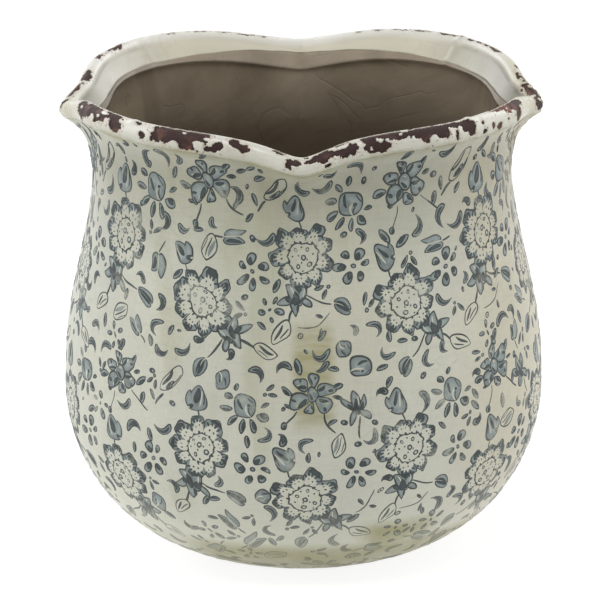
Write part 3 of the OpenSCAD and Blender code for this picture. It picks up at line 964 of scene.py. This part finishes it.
# Each motif: its marks, and the discs of ground that it keeps for itself.
MOTIFS = {
    "roundel": (ROUNDEL + drawn("stem 0.5 12.5 96 5 0.03 0.4") + moved(drawn("""
        W OVAL 0 0 5.3 4.1 88 0.4 -0.3, W LEAF -3 -0.8 4.6 1.9 116 0.9 -0.1 -0.12
        K LEAF 0.2 1.2 3 0.9 80 1.6 -0.3 0.1, B STEM 1.9 0 3 0.36 84 1.6 0 0.08
        K OVAL -2.6 -2.8 1.5 0.8 40 2.1, B OVAL -3.4 -3.2 0.6 0.5 0 3.2, K STEM 3 0.2 2.8 0.3 88 1.6 0 0.1
    """), -0.4, 20.6) + moved(LEAFAGE, -4.4, -14.6, -8) + drawn("""
        stem -1.4 -16 -28 10.5 0.03 0.4, split_leaf 12.6 -22.4 -26 0.95, stem -7.4 -19.5 236 8 0.05 0.5
    """) + moved(drawn("""
        O LEAF 0 0 5.6 3.1 0 0 0.1 0.03, K LEAF -0.4 0.7 3.3 0.45 4 1.4 0 0.06
        K STEM 0.6 -0.9 2.8 0.3 -4 1.4 0 -0.05
    """), -14.0, -28.6, 54), (
        (0, 0, 13.4), (-0.6, 20.2, 6.0), (-4.6, -16.4, 6.4), (12.8, -22.0, 5.8), (-13.6, -28.4, 5.2),
    )),
    "bud": (PETALLED_BUD, ((0, -0.6, 10.2),)),
    "rose": (ROSE + drawn("""
        stem 4 -7.8 300 11 0.06, stem -5.2 -6.8 232 9 -0.07, leaf -11.4 -14 222 1.7 1.3
        leaf 8.8 -12 48 2.4 1.2, leaf -10.8 0.8 168 2.8 1.5, leaf -9.4 -4.4 150 1.5 0.9
        leaf 9.9 3.2 24 2.5 1.4, leaf 10.2 -1.4 -12 1.9 1, comma 4.6 10.4 40 3.2 1.3
    """), ((0, 0, 9.6), (6.4, -13, 3.2), (-9.8, -11.2, 3.4), (-10.4, -0.6, 3.0), (10.2, 1.6, 2.8))),
    "poppy": (drawn("""
        O LEAF 0 0 7.2 3.3 90 0 0.12 0.04, K LEAF -1.3 -0.4 5.2 0.5 94 1.4 0 0.07
        W LEAF 1.2 -2.2 3.2 1.2 80 1.2 0.2 0.1, K OVAL 1 -2.6 1.6 0.5 84 2.6 0 0.1
        K STEM 2.2 0.8 3.4 0.3 86 1.4 0 0.12, stem 0.1 -7 264 7 0.05 0.55, leaf -3.6 -11.4 150 2.4 1.3
    """), ((0, 0, 5.6), (0, 4.6, 3.2), (-1.2, -10.6, 4.0))),
    "ivy": (drawn("""
        W LEAF -2.8 -0.4 7.4 3.6 112 0.2 -0.2 0.04, W LEAF 2.9 -0.4 7.2 3.6 66 0.5 -0.2 -0.04
        W OVAL 0 -3.2 5 3.6 88 0.8 -0.1, B STEM 0.1 0.2 6.2 0.42 90 2.1 0 0.03
        B STEM -2.5 -1.4 3 0.36 126 2.1 0 0.1, B STEM 2.6 -1.2 3 0.36 54 2.1 0 -0.1
        K LEAF 1 -0.4 4.6 0.55 86 2.2 0 0.05, K LEAF -3.8 0.2 3 0.5 118 2.2 0 0.1
        K LEAF 4 1 2.6 0.5 60 2.2 0 -0.1, K OVAL -1.2 -5 1.4 0.6 70 2.2, stem 0 6.6 84 6 0.05 0.5
    """), ((0, -0.4, 8.0),)),
    "iris": (drawn("""
        W LEAF -3 1.6 4.8 1.8 124 0.1 0 -0.1, W LEAF 3 1.6 4.8 1.8 56 0.3 0 0.1
        W LEAF 0 2.8 5 2.5 90 0.7 -0.2, W LEAF -2.5 -3 3.8 1.8 236 0.4 0.2 0.08
        W LEAF 2.5 -3 3.8 1.8 304 0.6 0.2 -0.08, K LEAF 0 1.8 3.4 0.95 90 2 -0.4
        K LEAF -2.5 0.8 2.8 0.6 124 1.7 0 -0.1, K LEAF 2.5 0.8 2.8 0.6 56 1.8 0 0.1
        B STEM 1 3.8 1.9 0.3 84 2.2, K OVAL 0 -2.2 1.5 1 90 2.2, stem 0 -4.2 266 8 0.05 0.45
    """), ((0, 1.2, 6.6), (0, -8.4, 2.6))),
    "dark_daisy": (
        ring(6, 5.1, 12, 60, "W OVAL 0 0 2.7 1.85 0 0 0.24, K OVAL -0.7 0.2 1.6 0.7 8 1.2 -0.3")
        + drawn("W OVAL 0 0 1.1 1 0 0.4"), ((0, 0, 7.9),)
    ),
    "dot_daisy": (
        ring(5, 4.1, 5, 72, "W OVAL 0 0 1.95 1.25 0 0 0.12, K OVAL -0.5 0.2 0.8 0.32 0 1.1")
        + drawn("K OVAL 0 0 0.72 0.68"), ((0, 0, 6.0),)
    ),
    "tendril": (drawn("""
        stem -7 -3 24 15 0.07, leaf -3.6 1.8 84 2 1, leaf 0.6 -3.4 -40 2.2 1.1, O OVAL 7.2 2.2 1.35 1.25 0 0.4
        K OVAL 7.2 2.2 0.4 0.36 0 1.4
    """), ((-3.0, -0.6, 4.4), (5.4, 0.6, 3.4))),
    "spray": (drawn("""
        comma 2.6 4.9 60 4.4 1.5 0.16, comma -1.4 5.4 104 3.9 1.4 0.2, comma -4.6 2.8 150 3.6 1.35 -0.2
        comma 5 1 14 3.4 1.3 -0.16, stem -0.4 -0.4 250 7 0.08 0.4
    """), ((0.2, 4.4, 7.2), (-1.4, -4.0, 2.0))),
    "heart": (drawn("""
        W LEAF -1.6 0.2 4.6 2.3 100 0 -0.3 0.05, W LEAF 1.6 0.2 4.6 2.3 80 0.3 -0.3 -0.05
        B STEM 0 -0.4 3.6 0.34 90 1.7 0 0.05, K LEAF 1.9 0.4 3 0.6 78 1.5 -0.2 -0.08
        stem 0 -4.2 262 5 0.06 0.4
    """), ((0, 0.2, 4.8), (-0.4, -6.4, 1.6))),
    "knot": (moved(BUD, 0, 0, 0, 0.84), ((0, 0, 4.7),)),
    "split": (drawn("split_leaf 0 0 12, stem 5.4 1 -20 5.5 0.05 0.4"), ((0.8, 0, 5.9), (8.0, 0, 2.0))),
    "open_leaf": (drawn("""
        O LEAF 0 0 5.8 3.5 30 0 0.08 0.02, T LEAF -0.5 0.9 3.8 0.8 34 1.3 0 0.05
        K STEM 0.2 -0.2 4.2 0.28 30 1.5 0 0.03, K STEM 1.1 -1.5 3 0.24 28 1.5 0 -0.06
    """), ((0, 0, 5.4),)),
    "comma": (drawn("comma 0 0 0"), ((0, 0.3, 4.0),)),
    "hook": (drawn("comma 0 0 0 3.9 1.35 -0.34"), ((0, -0.2, 3.2),)),
    "pair": (
        drawn("leaf -1.3 1.3 68 2.4 1.15, leaf 1.7 -0.8 22 2.3 1.1, W OVAL -1.3 -2.4 1.1 0.95"), ((0, -0.2, 3.4),)
    ),
    "leaf": (drawn("leaf 0 0 0"), ((0, 0, 2.4),)),
    "berry": (drawn("W OVAL 0 0 1.35 1.15, K OVAL 0.3 0 0.42 0.36 0 1.1"), ((0, 0, 1.5),)),
}
# The drawn repeat: motif, place across and up it in shares, turn in degrees, 1 where it is mirrored.
REPEAT = rows("""
    roundel 0.24 0.62 4 0, roundel 0.74 0.4 16 1, bud 0.47 0.82 0 0, bud 0.97 0.14 170 1, rose 0.76 0.88 10 0
    rose 0.42 0.17 205 1, dark_daisy 0.49 0.55 0 0, dark_daisy 0.985 0.52 30 0, poppy 0.1 0.9 -44 0
    ivy 0.6 0.1 200 1, iris 0.98 0.8 20 0, iris 0.03 0.34 196 1, spray 0.34 0.96 0 0, spray 0.86 0.66 190 1
    dot_daisy 0.62 0.7 0 0, dot_daisy 0.22 0.16 20 0, dark_daisy 0.07 0.08 20 0, open_leaf 0.36 0.44 10 0
    open_leaf 0.88 0.22 80 1, split 0.9 0.96 160 0, tendril 0.62 0.52 10 0, tendril 0.3 0.32 60 1
    comma 0.05 0.68 30 0, comma 0.58 0.3 110 0, hook 0.42 0.38 60 1, comma 0.52 0.97 150 0
""")
# Small motifs that fill what stays free, and how many of each.
FILLERS = (
    ("iris", 16), ("bud", 14), ("heart", 30), ("knot", 16), ("dark_daisy", 16), ("dot_daisy", 46), ("tendril", 44),
    ("spray", 26), ("open_leaf", 16), ("comma", 150), ("split", 28), ("hook", 120), ("pair", 120), ("leaf", 200),
    ("berry", 130),
)


# A motif's dome: how wide its shoulder is, and from where on its points belong to the shoulder and the edge.
SHOULDER, SHOULDER_FROM, EDGE_FROM = 0.8, 0.7, 0.95


def unit_lens(sides, rings):
    """A closed low dome one unit across its base: flat below, stepped and peaked above."""
    bm = bmesh.new()
    bmesh.ops.create_cone(bm, cap_ends=True, cap_tris=False, segments=sides, radius1=1, radius2=SHOULDER, depth=1)
    top = max(bm.faces, key=lambda f: f.calc_center_median().z)
    for _ in range(rings):
        bmesh.ops.inset_region(bm, faces=[top], thickness=SHOULDER / (rings + 1), use_even_offset=True)
    bmesh.ops.poke(bm, faces=[top])
    mesh = bpy.data.meshes.new("lens")
    bm.to_mesh(mesh)
    bm.free()
    co = coordinates(mesh)
    store(mesh, "edge", np.clip(np.hypot(co[:, 0], co[:, 1]) / SHOULDER, 0, 1))
    return mesh


class Motif:
    """One drawn flower or leaf, flat, in millimetres, as three layers of ink."""

    # Ranges of chance: length, turn in degrees, breadth of a stem and of other line ink, inset in line widths.
    LONG, TURN, STEM_BREADTH, LINE_BREADTH, INSET = (0.94, 1.06), (-5, 5), (0.85, 1.15), (1.0, 1.9), (0.85, 1.4)
    # Height of one level in the pile, and of one mark over the mark before it.
    LEVEL, NEXT, CYCLE = 0.05, 0.0012, 7
    # The most sides of a dome, and up to which half length fewer sides do.
    MOST_SIDES, FEWER_SIDES = 24, ((1.6, 8), (3, 12), (4.5, 18))
    # How far the hand's wobble moves a point, and how fine it is.
    WOBBLE, WOBBLE_SCALE, WOBBLE_SHIFT = 1.9, 0.12, Vector((17.3, 5.9, 31.7))
    lenses = {}

    def __init__(self, marks, line, rng):
        self.hand = rng.uniform(0, 50)
        self.layers = {layer: bmesh.new() for layer in (LINE, WASH, GROUND)}
        for order, mark in enumerate(marks):
            half = mark.half * rng.uniform(*self.LONG)
            turn = math.radians(mark.turn + rng.uniform(*self.TURN))
            breadth = mark.breadth
            if mark.ink == "K":
                breadth *= rng.uniform(*(self.STEM_BREADTH if mark.form == "STEM" else self.LINE_BREADTH))
            mark = mark._replace(half=half, breadth=breadth, turn=turn)
            phase = rng.uniform(0, TAU)
            up = mark.level * self.LEVEL + self.NEXT * (order % self.CYCLE)
            if mark.ink in OUTLINED:
                self.lens(LINE, mark, phase, 0, (-0.02, 0.035 + up, 0.005 + up))
                inset = line * rng.uniform(*self.INSET)
                self.lens(OUTLINED[mark.ink], mark, phase, inset, (0.0, 0.062 + up, 0.078 + up))
            else:
                self.lens(PLAIN[mark.ink], mark, phase, 0, (up - 0.02, 0.05 + up, 0.06 + up))

    def unit(self, half, ripples):
        """The unit dome for a mark, fine enough for its length and its ripples."""
        sides = next((count for most, count in self.FEWER_SIDES if half < most), self.MOST_SIDES)
        key = (max(sides, min(2 * ripples + 2, self.MOST_SIDES)), int(half > 2.4) + int(half > 4.2))
        if key not in self.lenses:
            self.lenses[key] = unit_lens(*key)
        return self.lenses[key]

    def lens(self, layer, mark, phase, inset, heights):
        """Adds one closed dome. heights are those of its edge, its shoulder and its middle."""
        point, ripples, ripple = FORMS[mark.form]
        bend = mark.bend
        bm = self.layers[layer]
        first = len(bm.verts)
        bm.from_mesh(self.unit(mark.half, ripples))
        bm.verts.ensure_lookup_table()
        c, s = math.cos(mark.turn), math.sin(mark.turn)
        for v in bm.verts[first:]:
            reach, around = math.hypot(v.co.x, v.co.y), math.atan2(v.co.y, v.co.x)
            part = 0 if reach > EDGE_FROM else 1 if reach > SHOULDER_FROM else 2
            slope = min(0.2, 0.3 * mark.breadth) if part else 0
            scale = (1 if part < 2 else reach / SHOULDER) * (1 + ripple * math.cos(ripples * around + phase))
            a, b = (max(size - inset - slope, 0.06) * scale for size in (mark.half, mark.breadth))
            side = math.sin(around)
            x = a * math.cos(around)
            y = b * math.copysign(abs(side) ** point, side) * (1 + mark.taper * math.cos(around))
            if bend:
                sweep = bend * x
                x, y = (
                    math.sin(sweep) / bend - y * math.sin(sweep),
                    (1 - math.cos(sweep)) / bend + y * math.cos(sweep),
                )
            v.co = (mark.x + x * c - y * s, mark.y + x * s + y * c, heights[part])

    def meshes(self):
        made = {}
        for layer, bm in self.layers.items():
            if bm.verts:
                for v in bm.verts:
                    spot = Vector((self.WOBBLE_SCALE * v.co.x, self.WOBBLE_SCALE * v.co.y, self.hand))
                    v.co.x += self.WOBBLE * noise.noise(spot)
                    v.co.y += self.WOBBLE * noise.noise(spot + self.WOBBLE_SHIFT)
                bmesh.ops.recalc_face_normals(bm, faces=bm.faces)
                made[layer] = bpy.data.meshes.new("motif")
                bm.to_mesh(made[layer])
            bm.free()
        return made


class Print:
    """Places motifs on the unrolled wall and then wraps them round the pot."""

    VARIANTS = 3
    TRIES = 14
    # Where the first repeat starts round the pot, and how much higher every other row stands.
    START, ROW_SHIFT = math.radians(258), 0.012
    # How far chance moves and turns a motif of the repeat: round the pot, up in millimetres, in degrees.
    STRAY, STRAY_UP, STRAY_SPIN = 0.012, 1.2, 15
    # Share of a disc that has to lie over the print's lower end and under its upper end, and the room there.
    OVER, UNDER, ROOM_BELOW, ROOM_ABOVE = 0.8, 0.86, 2 * MM, 1.5 * MM
    # Share of the usual distance that motifs of the repeat and fillers keep.
    REPEAT_SLACK, FILLER_SLACK = 0.88, 0.92
    # From where up the ink stands out more, over which height, and how much.
    LIFT_FROM, LIFT_OVER, LIFT = 156 * MM, 10 * MM, 1.5

    def __init__(self, outline, settings):
        self.outline, self.settings = outline, settings
        self.rng = random.Random(settings.seed)
        self.top = outline.along[-1] - 2.5 * MM
        self.bottom = 5 * MM
        self.taken = np.zeros((0, 4))
        self.placed = []
        self.made = {}
        self.flat_radius = outline.belly_r

    def radius_at(self, up):
        return np.interp(up, self.outline.along, self.outline.printed[:, 0])

    def height_at(self, up):
        return np.interp(up, self.outline.along, self.outline.printed[:, 1])

    def on_wall(self, turn, up):
        return np.column_stack(self.outline.shaped(self.radius_at(up), self.height_at(up), turn))

    def variants(self, motif):
        """Several drawings of a motif."""
        if motif not in self.made:
            marks, discs = MOTIFS[motif]
            self.made[motif] = [
                (Motif(marks, self.settings.line / MM, random.Random(f"{motif} {i}")).meshes(), discs)
                for i in range(self.VARIANTS)
            ]
        return self.made[motif]

    def try_place(self, motif, turn, up, spin, mirrored, size, slack):
        """Puts a motif on the wall where its discs are free, and says whether it did."""
        meshes, discs = self.rng.choice(self.variants(motif))
        if not self.bottom < up < self.top:
            return False
        c, s, flip = math.cos(spin), math.sin(spin), -1 if mirrored else 1
        size = size * self.settings.size
        wants = []
        for x, y, radius in discs:
            x, y, radius = flip * x * size * MM, y * size * MM, radius * size * MM
            across, rise = x * c - y * s, x * s + y * c
            wants.append((turn + across / self.radius_at(up), up + rise, radius))
        turns, ups, radii = np.array(wants).T
        low, high = ups - self.OVER * radii, ups + self.UNDER * radii
        if (low < self.bottom - self.ROOM_BELOW).any() or (high > self.top + self.ROOM_ABOVE).any():
            return False
        places = self.on_wall(turns, ups)
        away = np.linalg.norm(self.taken[None, :, :3] - places[:, None, :], axis=2)
        need = (self.taken[None, :, 3] + radii[:, None]) * slack + self.settings.gap
        if (away < need).any():
            return False
        self.taken = np.vstack([self.taken, np.column_stack([places, radii])])
        self.placed.append((meshes, turn, up, spin, flip, size))
        return True

    def lay_repeat(self):
        s, rng = self.settings, self.rng
        wide = TAU / s.repeats
        rows_up = math.ceil(self.top / s.repeat_height) + 1
        for motif, across, rise, spin, mirrored in REPEAT:
            for row, i in itertools.product(range(rows_up), range(s.repeats)):
                turn = wide * (i + across + 0.5 * (row % 2)) + self.START
                up = self.top - (row + 1 - rise) * s.repeat_height + self.ROW_SHIFT * (row % 2)
                turn += rng.uniform(-self.STRAY, self.STRAY)
                up += rng.uniform(-self.STRAY_UP, self.STRAY_UP) * MM
                strayed = math.radians(spin + rng.uniform(-self.STRAY_SPIN, self.STRAY_SPIN))
                self.try_place(motif, turn, up, strayed, mirrored, 1.0, self.REPEAT_SLACK)

    def scatter(self):
        rng = self.rng
        for motif, count in FILLERS:
            for _ in range(count * self.TRIES):
                up = self.bottom + (self.top - self.bottom) * rng.random() ** 0.9
                if rng.random() > self.radius_at(up) / self.outline.belly_r:
                    continue
                turn, spin = rng.uniform(0, TAU), rng.uniform(0, TAU)
                mirrored, size = rng.random() < 0.5, rng.uniform(0.9, 1.12)
                if self.try_place(motif, turn, up, spin, mirrored, size, self.FILLER_SLACK):
                    count -= 1
                if not count:
                    break

    def flat_layers(self, layer, low, high):
        """All motifs between two directions, laid flat, with the arc round the pot across."""
        bm = bmesh.new()
        for meshes, turn, up, spin, flip, size in self.placed:
            if layer not in meshes or not low <= turn % TAU < high:
                continue
            stretch = self.flat_radius / self.radius_at(up)
            place = (
                Matrix.Translation((turn % TAU * self.flat_radius, up, 0))
                @ Matrix.Diagonal((stretch, 1, 1, 1))
                @ Matrix.Rotation(spin, 4, "Z")
                @ Matrix.Diagonal((flip * size * MM, size * MM, MM, 1))
            )
            mesh = meshes[layer].copy()
            mesh.transform(place)
            if flip < 0:
                mesh.flip_normals()
            bm.from_mesh(mesh)
            bpy.data.meshes.remove(mesh)
        return bm

    def wrapped(self, layer, name, low, high):
        o = self.outline
        bm = self.flat_layers(layer, low, high)
        curve = np.interp(o.neck_z - 6 * MM, o.printed[:, 1], o.along)
        bases = [f for f in bm.faces if len(f.verts) > 6 and f.calc_center_median().y > curve]
        bmesh.ops.poke(bm, faces=bases)
        for _ in range(2):
            long = [e for e in bm.edges if e.verts[0].co.y > curve and e.calc_length() > 0.9 * MM]
            bmesh.ops.subdivide_edges(bm, edges=long, cuts=1, use_grid_fill=True)
        mesh = finish_mesh(bm, name, smooth=False)
        co = coordinates(mesh)
        loops = np.empty(len(mesh.loops), np.int32)
        mesh.loops.foreach_get("vertex_index", loops)
        low_end, high_end = co.min(axis=0), co.max(axis=0)
        uv = ((co - low_end) / (high_end - low_end))[loops, :2]
        mesh.uv_layers.new(name=UV_MAP).data.foreach_set("uv", uv.astype(np.float32).ravel())
        up = np.clip(co[:, 1], 0, o.along[-1])
        height = self.height_at(up)
        lift = co[:, 2] * (1 + self.LIFT * np.clip((height - self.LIFT_FROM) / self.LIFT_OVER, 0, 1))
        radius = self.radius_at(up) + lift * np.interp(up, o.along, o.normal[:, 0])
        height = height + lift * np.interp(up, o.along, o.normal[:, 1])
        set_coordinates(mesh, np.column_stack(o.shaped(radius, height, co[:, 0] / self.flat_radius)))
        return mesh


# ---- Operators ----

class PotClay(bpy.types.Operator):
    """Fired clay body with its bare foot ring"""
    bl_idname = "flower_pot.clay"
    bl_label = "Clay body"

    def execute(self, context):
        form = context.scene.pot_form
        o = Outline(form)
        ring_out, hollow = form.foot_width / 2, form.foot_hollow
        ring_in = ring_out - form.foot_ring
        under = np.array([
            [0, hollow], [ring_in * 0.5, hollow], [ring_in - 0.8 * MM, hollow],
            [ring_in, hollow - 0.5 * MM], [ring_in, 0.3 * MM], [ring_in + 0.3 * MM, 0],
            [ring_in + form.foot_ring / 2, 0], [ring_out - 0.3 * MM, 0], [ring_out, 0.12 * MM],
        ])
        outside = np.vstack([o.side(form.glaze, 28, 24), o.flare_line(form.glaze, 12)[1:]])
        line = np.vstack([under, outside, o.roll(form.glaze + form.slip, 24), o.lining(form.glaze, 28, 24)])
        name = "clay_foot_and_wall"
        mesh = finish_mesh(turned(name, line, 240, len(under) + 3), name)
        shape_pot(mesh, o)
        add_piece(name, mesh, clay_finish(context.scene.pot_colours), "fired_clay", "clay_body")
        return {"FINISHED"}


class PotSlip(bpy.types.Operator):
    """Dark slip round the lip, seen where the glaze is worn"""
    bl_idname = "flower_pot.slip"
    bl_label = "Lip slip"

    def execute(self, context):
        form = context.scene.pot_form
        o = Outline(form)
        finish = slip_finish(context.scene.pot_colours)
        outside, inside = o.roll(form.glaze, 26), o.roll(form.glaze + form.slip, 12)
        add_coat("slip_band", outside, inside, 720, o, finish, "dark_slip", "rim_slip")
        return {"FINISHED"}


class PotSideGlaze(bpy.types.Operator):
    """Cream glaze from the foot to the crease under the lip"""
    bl_idname = "flower_pot.side_glaze"
    bl_label = "Cream glaze"

    def execute(self, context):
        form = context.scene.pot_form
        o = Outline(form)
        finish = cream_glaze_finish(context.scene.pot_colours)
        outside = np.vstack([o.side(0, 48, 44), o.flare_line(0, 22)[1:]])
        inside = np.vstack([o.side(form.glaze, 24, 22), o.flare_line(form.glaze, 10)[1:]])
        add_coat("cream_side", outside, inside, 480, o, finish, "cream_glaze", "cream_glaze")
        return {"FINISHED"}


class PotLipGlaze(bpy.types.Operator):
    """Cream glaze of the rolled lip, worn through in patches"""
    bl_idname = "flower_pot.lip_glaze"
    bl_label = "Worn lip glaze"

    def execute(self, context):
        form = context.scene.pot_form
        o = Outline(form)
        wear = LipWear(o, context.scene.pot_print.seed)
        bm = worn_lip_mesh(o, wear, around=1250, steps=34)
        bmesh.ops.solidify(bm, geom=bm.faces[:], thickness=form.glaze)
        mesh = finish_mesh(bm, "worn_lip")
        mark_crease(mesh, o, 1.8 * MM)
        flat = coordinates(mesh)
        store(mesh, "worn", np.clip(wear.at(flat) * 1.6 + 1.25, 0, 1))
        high = flat[:, 2] - form.lip_height
        # How high on the roll a point lies: the lip glaze whitens the roll with it, and also paints light on the
        # back of the roll with it.
        store(mesh, "thick", np.clip(0.55 + high / (0.5 * form.roll_height), 0.15, 1))
        inwards = o.lip_r - np.hypot(flat[:, 0], flat[:, 1])
        store(mesh, "inner", np.clip(4 * inwards / (0.5 * form.roll_thickness) - 2.8, 0, 1))
        shape_pot(mesh, o)
        finish = lip_glaze_finish(context.scene.pot_colours)
        add_piece("worn_lip", mesh, finish, "cream_glaze", "cream_glaze")
        return {"FINISHED"}


class PotLining(bpy.types.Operator):
    """Taupe glaze over the inside and the floor"""
    bl_idname = "flower_pot.lining"
    bl_label = "Taupe lining"

    def execute(self, context):
        form = context.scene.pot_form
        o = Outline(form)
        finish = lining_finish(context.scene.pot_colours)
        outside, inside = o.lining(0, 44, 40), o.lining(form.glaze, 22, 20)
        add_coat("taupe_lining", outside, inside, 360, o, finish, "taupe_glaze", "inner_glaze")
        return {"FINISHED"}


class PotPrinting(bpy.types.Operator):
    """Blue-grey flowers printed all over the outside"""
    bl_idname = "flower_pot.printing"
    bl_label = "Printed flowers"

    def execute(self, context):
        drawing = Print(Outline(context.scene.pot_form), context.scene.pot_print)
        drawing.lay_repeat()
        drawing.scatter()
        c = context.scene.pot_colours
        finishes = {
            LINE: ink_finish(c, "ink line", c.ink_line, [0.48 * part for part in c.ink_line], 0.6),
            WASH: ink_finish(c, "ink wash", c.ink_wash, c.ink_shade, 0.55),
            GROUND: reserve_finish(c),
        }
        parts = {LINE: 4, WASH: 3, GROUND: 1}
        for layer, count in parts.items():
            for i in range(count):
                name = f"print_{layer}_{i + 1}"
                mesh = drawing.wrapped(layer, name, TAU * i / count, TAU * (i + 1) / count)
                if not mesh.polygons:
                    raise RuntimeError(f"{name} has no motifs")
                add_piece(name, mesh, finishes[layer], "cream_glaze")
        return {"FINISHED"}


def show_by_ray(tree, output, lit, seen):
    """Shows one shader to the camera and in gloss, and another one to all other rays."""
    path = add_node(tree, "ShaderNodeLightPath", {})
    rays = (path["Is Camera Ray"], path["Is Glossy Ray"], path["Is Transmission Ray"])
    ray = functools.reduce(
        lambda a, b: add_node(tree, "ShaderNodeMath", {0: a, 1: b}, operation="MAXIMUM")[0], rays
    )
    surface = add_node(tree, "ShaderNodeMixShader", {0: ray, 1: lit, 2: seen})
    add_node(tree, output, {"Surface": surface[0]})


def glowing(tree, colour, strength):
    """A matt colour that also glows a little."""
    matt = add_node(tree, "ShaderNodeBsdfDiffuse", {"Color": (*colour, 1)})
    glow = add_node(tree, "ShaderNodeEmission", {"Color": WHITE, "Strength": strength})
    return add_node(tree, "ShaderNodeAddShader", {0: matt[0], 1: glow[0]})[0]


class PotStageSetting(bpy.types.Operator):
    """Pale floor, soft side lamps, white surroundings and the camera"""
    bl_idname = "flower_pot.stage"
    bl_label = "Stage"

    FLOOR_GLOW, SEEN_COLOUR, SEEN_GLOW = 0.14, (0.3, 0.3, 0.3), 0.88
    LAMP_AIM = Vector((0, 0, 0.09))
    # A point in the pot, and how far above it in the picture, in millimetres, the camera looks.
    AIM, AIM_UP = Vector((-1.22 * MM, 0, 96.9 * MM)), 4.38

    def execute(self, context):
        scene = context.scene
        stage = scene.pot_stage
        self.floor(scene)
        self.world(scene)
        for side, place, wide, high, watts in (
            ("left", (-1.15, -0.25, 0.55), 0.9, 1.2, stage.left_power),
            ("right", (1.15, -0.25, 0.55), 0.9, 1.2, stage.right_power),
            ("high", (0, -0.9, 1.7), 1.2, 0.8, stage.high_power),
            ("back left", (-0.9, 0.9, 0.9), 0.9, 0.9, stage.back_power),
            ("back right", (0.9, 0.9, 0.9), 0.9, 0.9, stage.back_power),
        ):
            data = bpy.data.lights.new(f"{side} lamp", "AREA")
            data.shape, data.size, data.size_y, data.energy = "RECTANGLE", wide, high, watts
            place = Vector(place)
            self.add(scene, data, place, (self.LAMP_AIM - place).to_track_quat("-Z", "Y"))
        self.camera(scene)
        scene.view_settings.view_transform = "Standard"
        return {"FINISHED"}

    def add(self, scene, data, place, turn):
        made = bpy.data.objects.new(data.name, data)
        made.location = place
        made.rotation_euler = turn.to_euler()
        scene.collection.objects.link(made)
        return made

    def floor(self, scene):
        bm = bmesh.new()
        bmesh.ops.create_grid(bm, x_segments=8, y_segments=8, size=3.0)
        mesh = finish_mesh(bm, "pale_floor")
        floor = bpy.data.objects.new("pale_floor", mesh)
        scene.collection.objects.link(floor)
        material = bpy.data.materials.new("pale floor")
        tree = new_tree(material)
        lit = glowing(tree, scene.pot_colours.floor, self.FLOOR_GLOW)
        seen = glowing(tree, self.SEEN_COLOUR, self.SEEN_GLOW)
        show_by_ray(tree, "ShaderNodeOutputMaterial", lit, seen)
        mesh.materials.append(material)

    def world(self, scene):
        scene.world = bpy.data.worlds.new("white surroundings")
        tree = new_tree(scene.world)
        light, seen = (
            add_node(tree, "ShaderNodeBackground", {"Color": WHITE, "Strength": strength})[0]
            for strength in (scene.pot_stage.sky, 1.0)
        )
        show_by_ray(tree, "ShaderNodeOutputWorld", light, seen)

    def camera(self, scene):
        stage = scene.pot_stage
        e = stage.elevation
        up = Vector((0, math.sin(e), math.cos(e)))
        back = Vector((0, -math.cos(e), math.sin(e)))
        data = bpy.data.cameras.new("photo view")
        data.sensor_width = SENSOR_WIDTH
        data.lens = SENSOR_WIDTH * stage.pixels_per_metre * stage.distance / IMAGE_WIDTH
        data.clip_end = 50
        turn = (-back).to_track_quat("-Z", "Y").to_matrix().to_4x4() @ Matrix.Rotation(-stage.roll, 4, "Z")
        scene.camera = self.add(scene, data, self.AIM + up * self.AIM_UP * MM + back * stage.distance, turn)


class PotPanel(bpy.types.Panel):
    """Buttons for the pot's pieces"""
    bl_idname = "VIEW3D_PT_flower_pot"
    bl_label = "Flower pot"
    bl_space_type = "VIEW_3D"
    bl_region_type = "UI"
    bl_category = "Flower pot"

    def draw(self, context):
        for operator in STEPS:
            self.layout.operator(operator.bl_idname)
        for group in (getattr(context.scene, name) for name in GROUPS):
            box = self.layout.box()
            for name in group.bl_rna.properties.keys():
                if name not in ("rna_type", "name"):
                    box.prop(group, name)


STEPS = (PotStageSetting, PotClay, PotSlip, PotSideGlaze, PotLipGlaze, PotLining, PotPrinting)
GROUPS = {"pot_form": PotForm, "pot_colours": PotColours, "pot_print": PotPrint, "pot_stage": PotStage}


def register():
    for cls in (*GROUPS.values(), *STEPS, PotPanel):
        bpy.utils.register_class(cls)
    for name, group in GROUPS.items():
        setattr(bpy.types.Scene, name, PointerProperty(type=group))


def unregister():
    for name in GROUPS:
        delattr(bpy.types.Scene, name)
    for cls in reversed((*GROUPS.values(), *STEPS, PotPanel)):
        bpy.utils.unregister_class(cls)


def main():
    register()
    for operator in STEPS:
        group, name = operator.bl_idname.split(".")
        getattr(getattr(bpy.ops, group), name)()


if __name__ == "__main__":
    main()
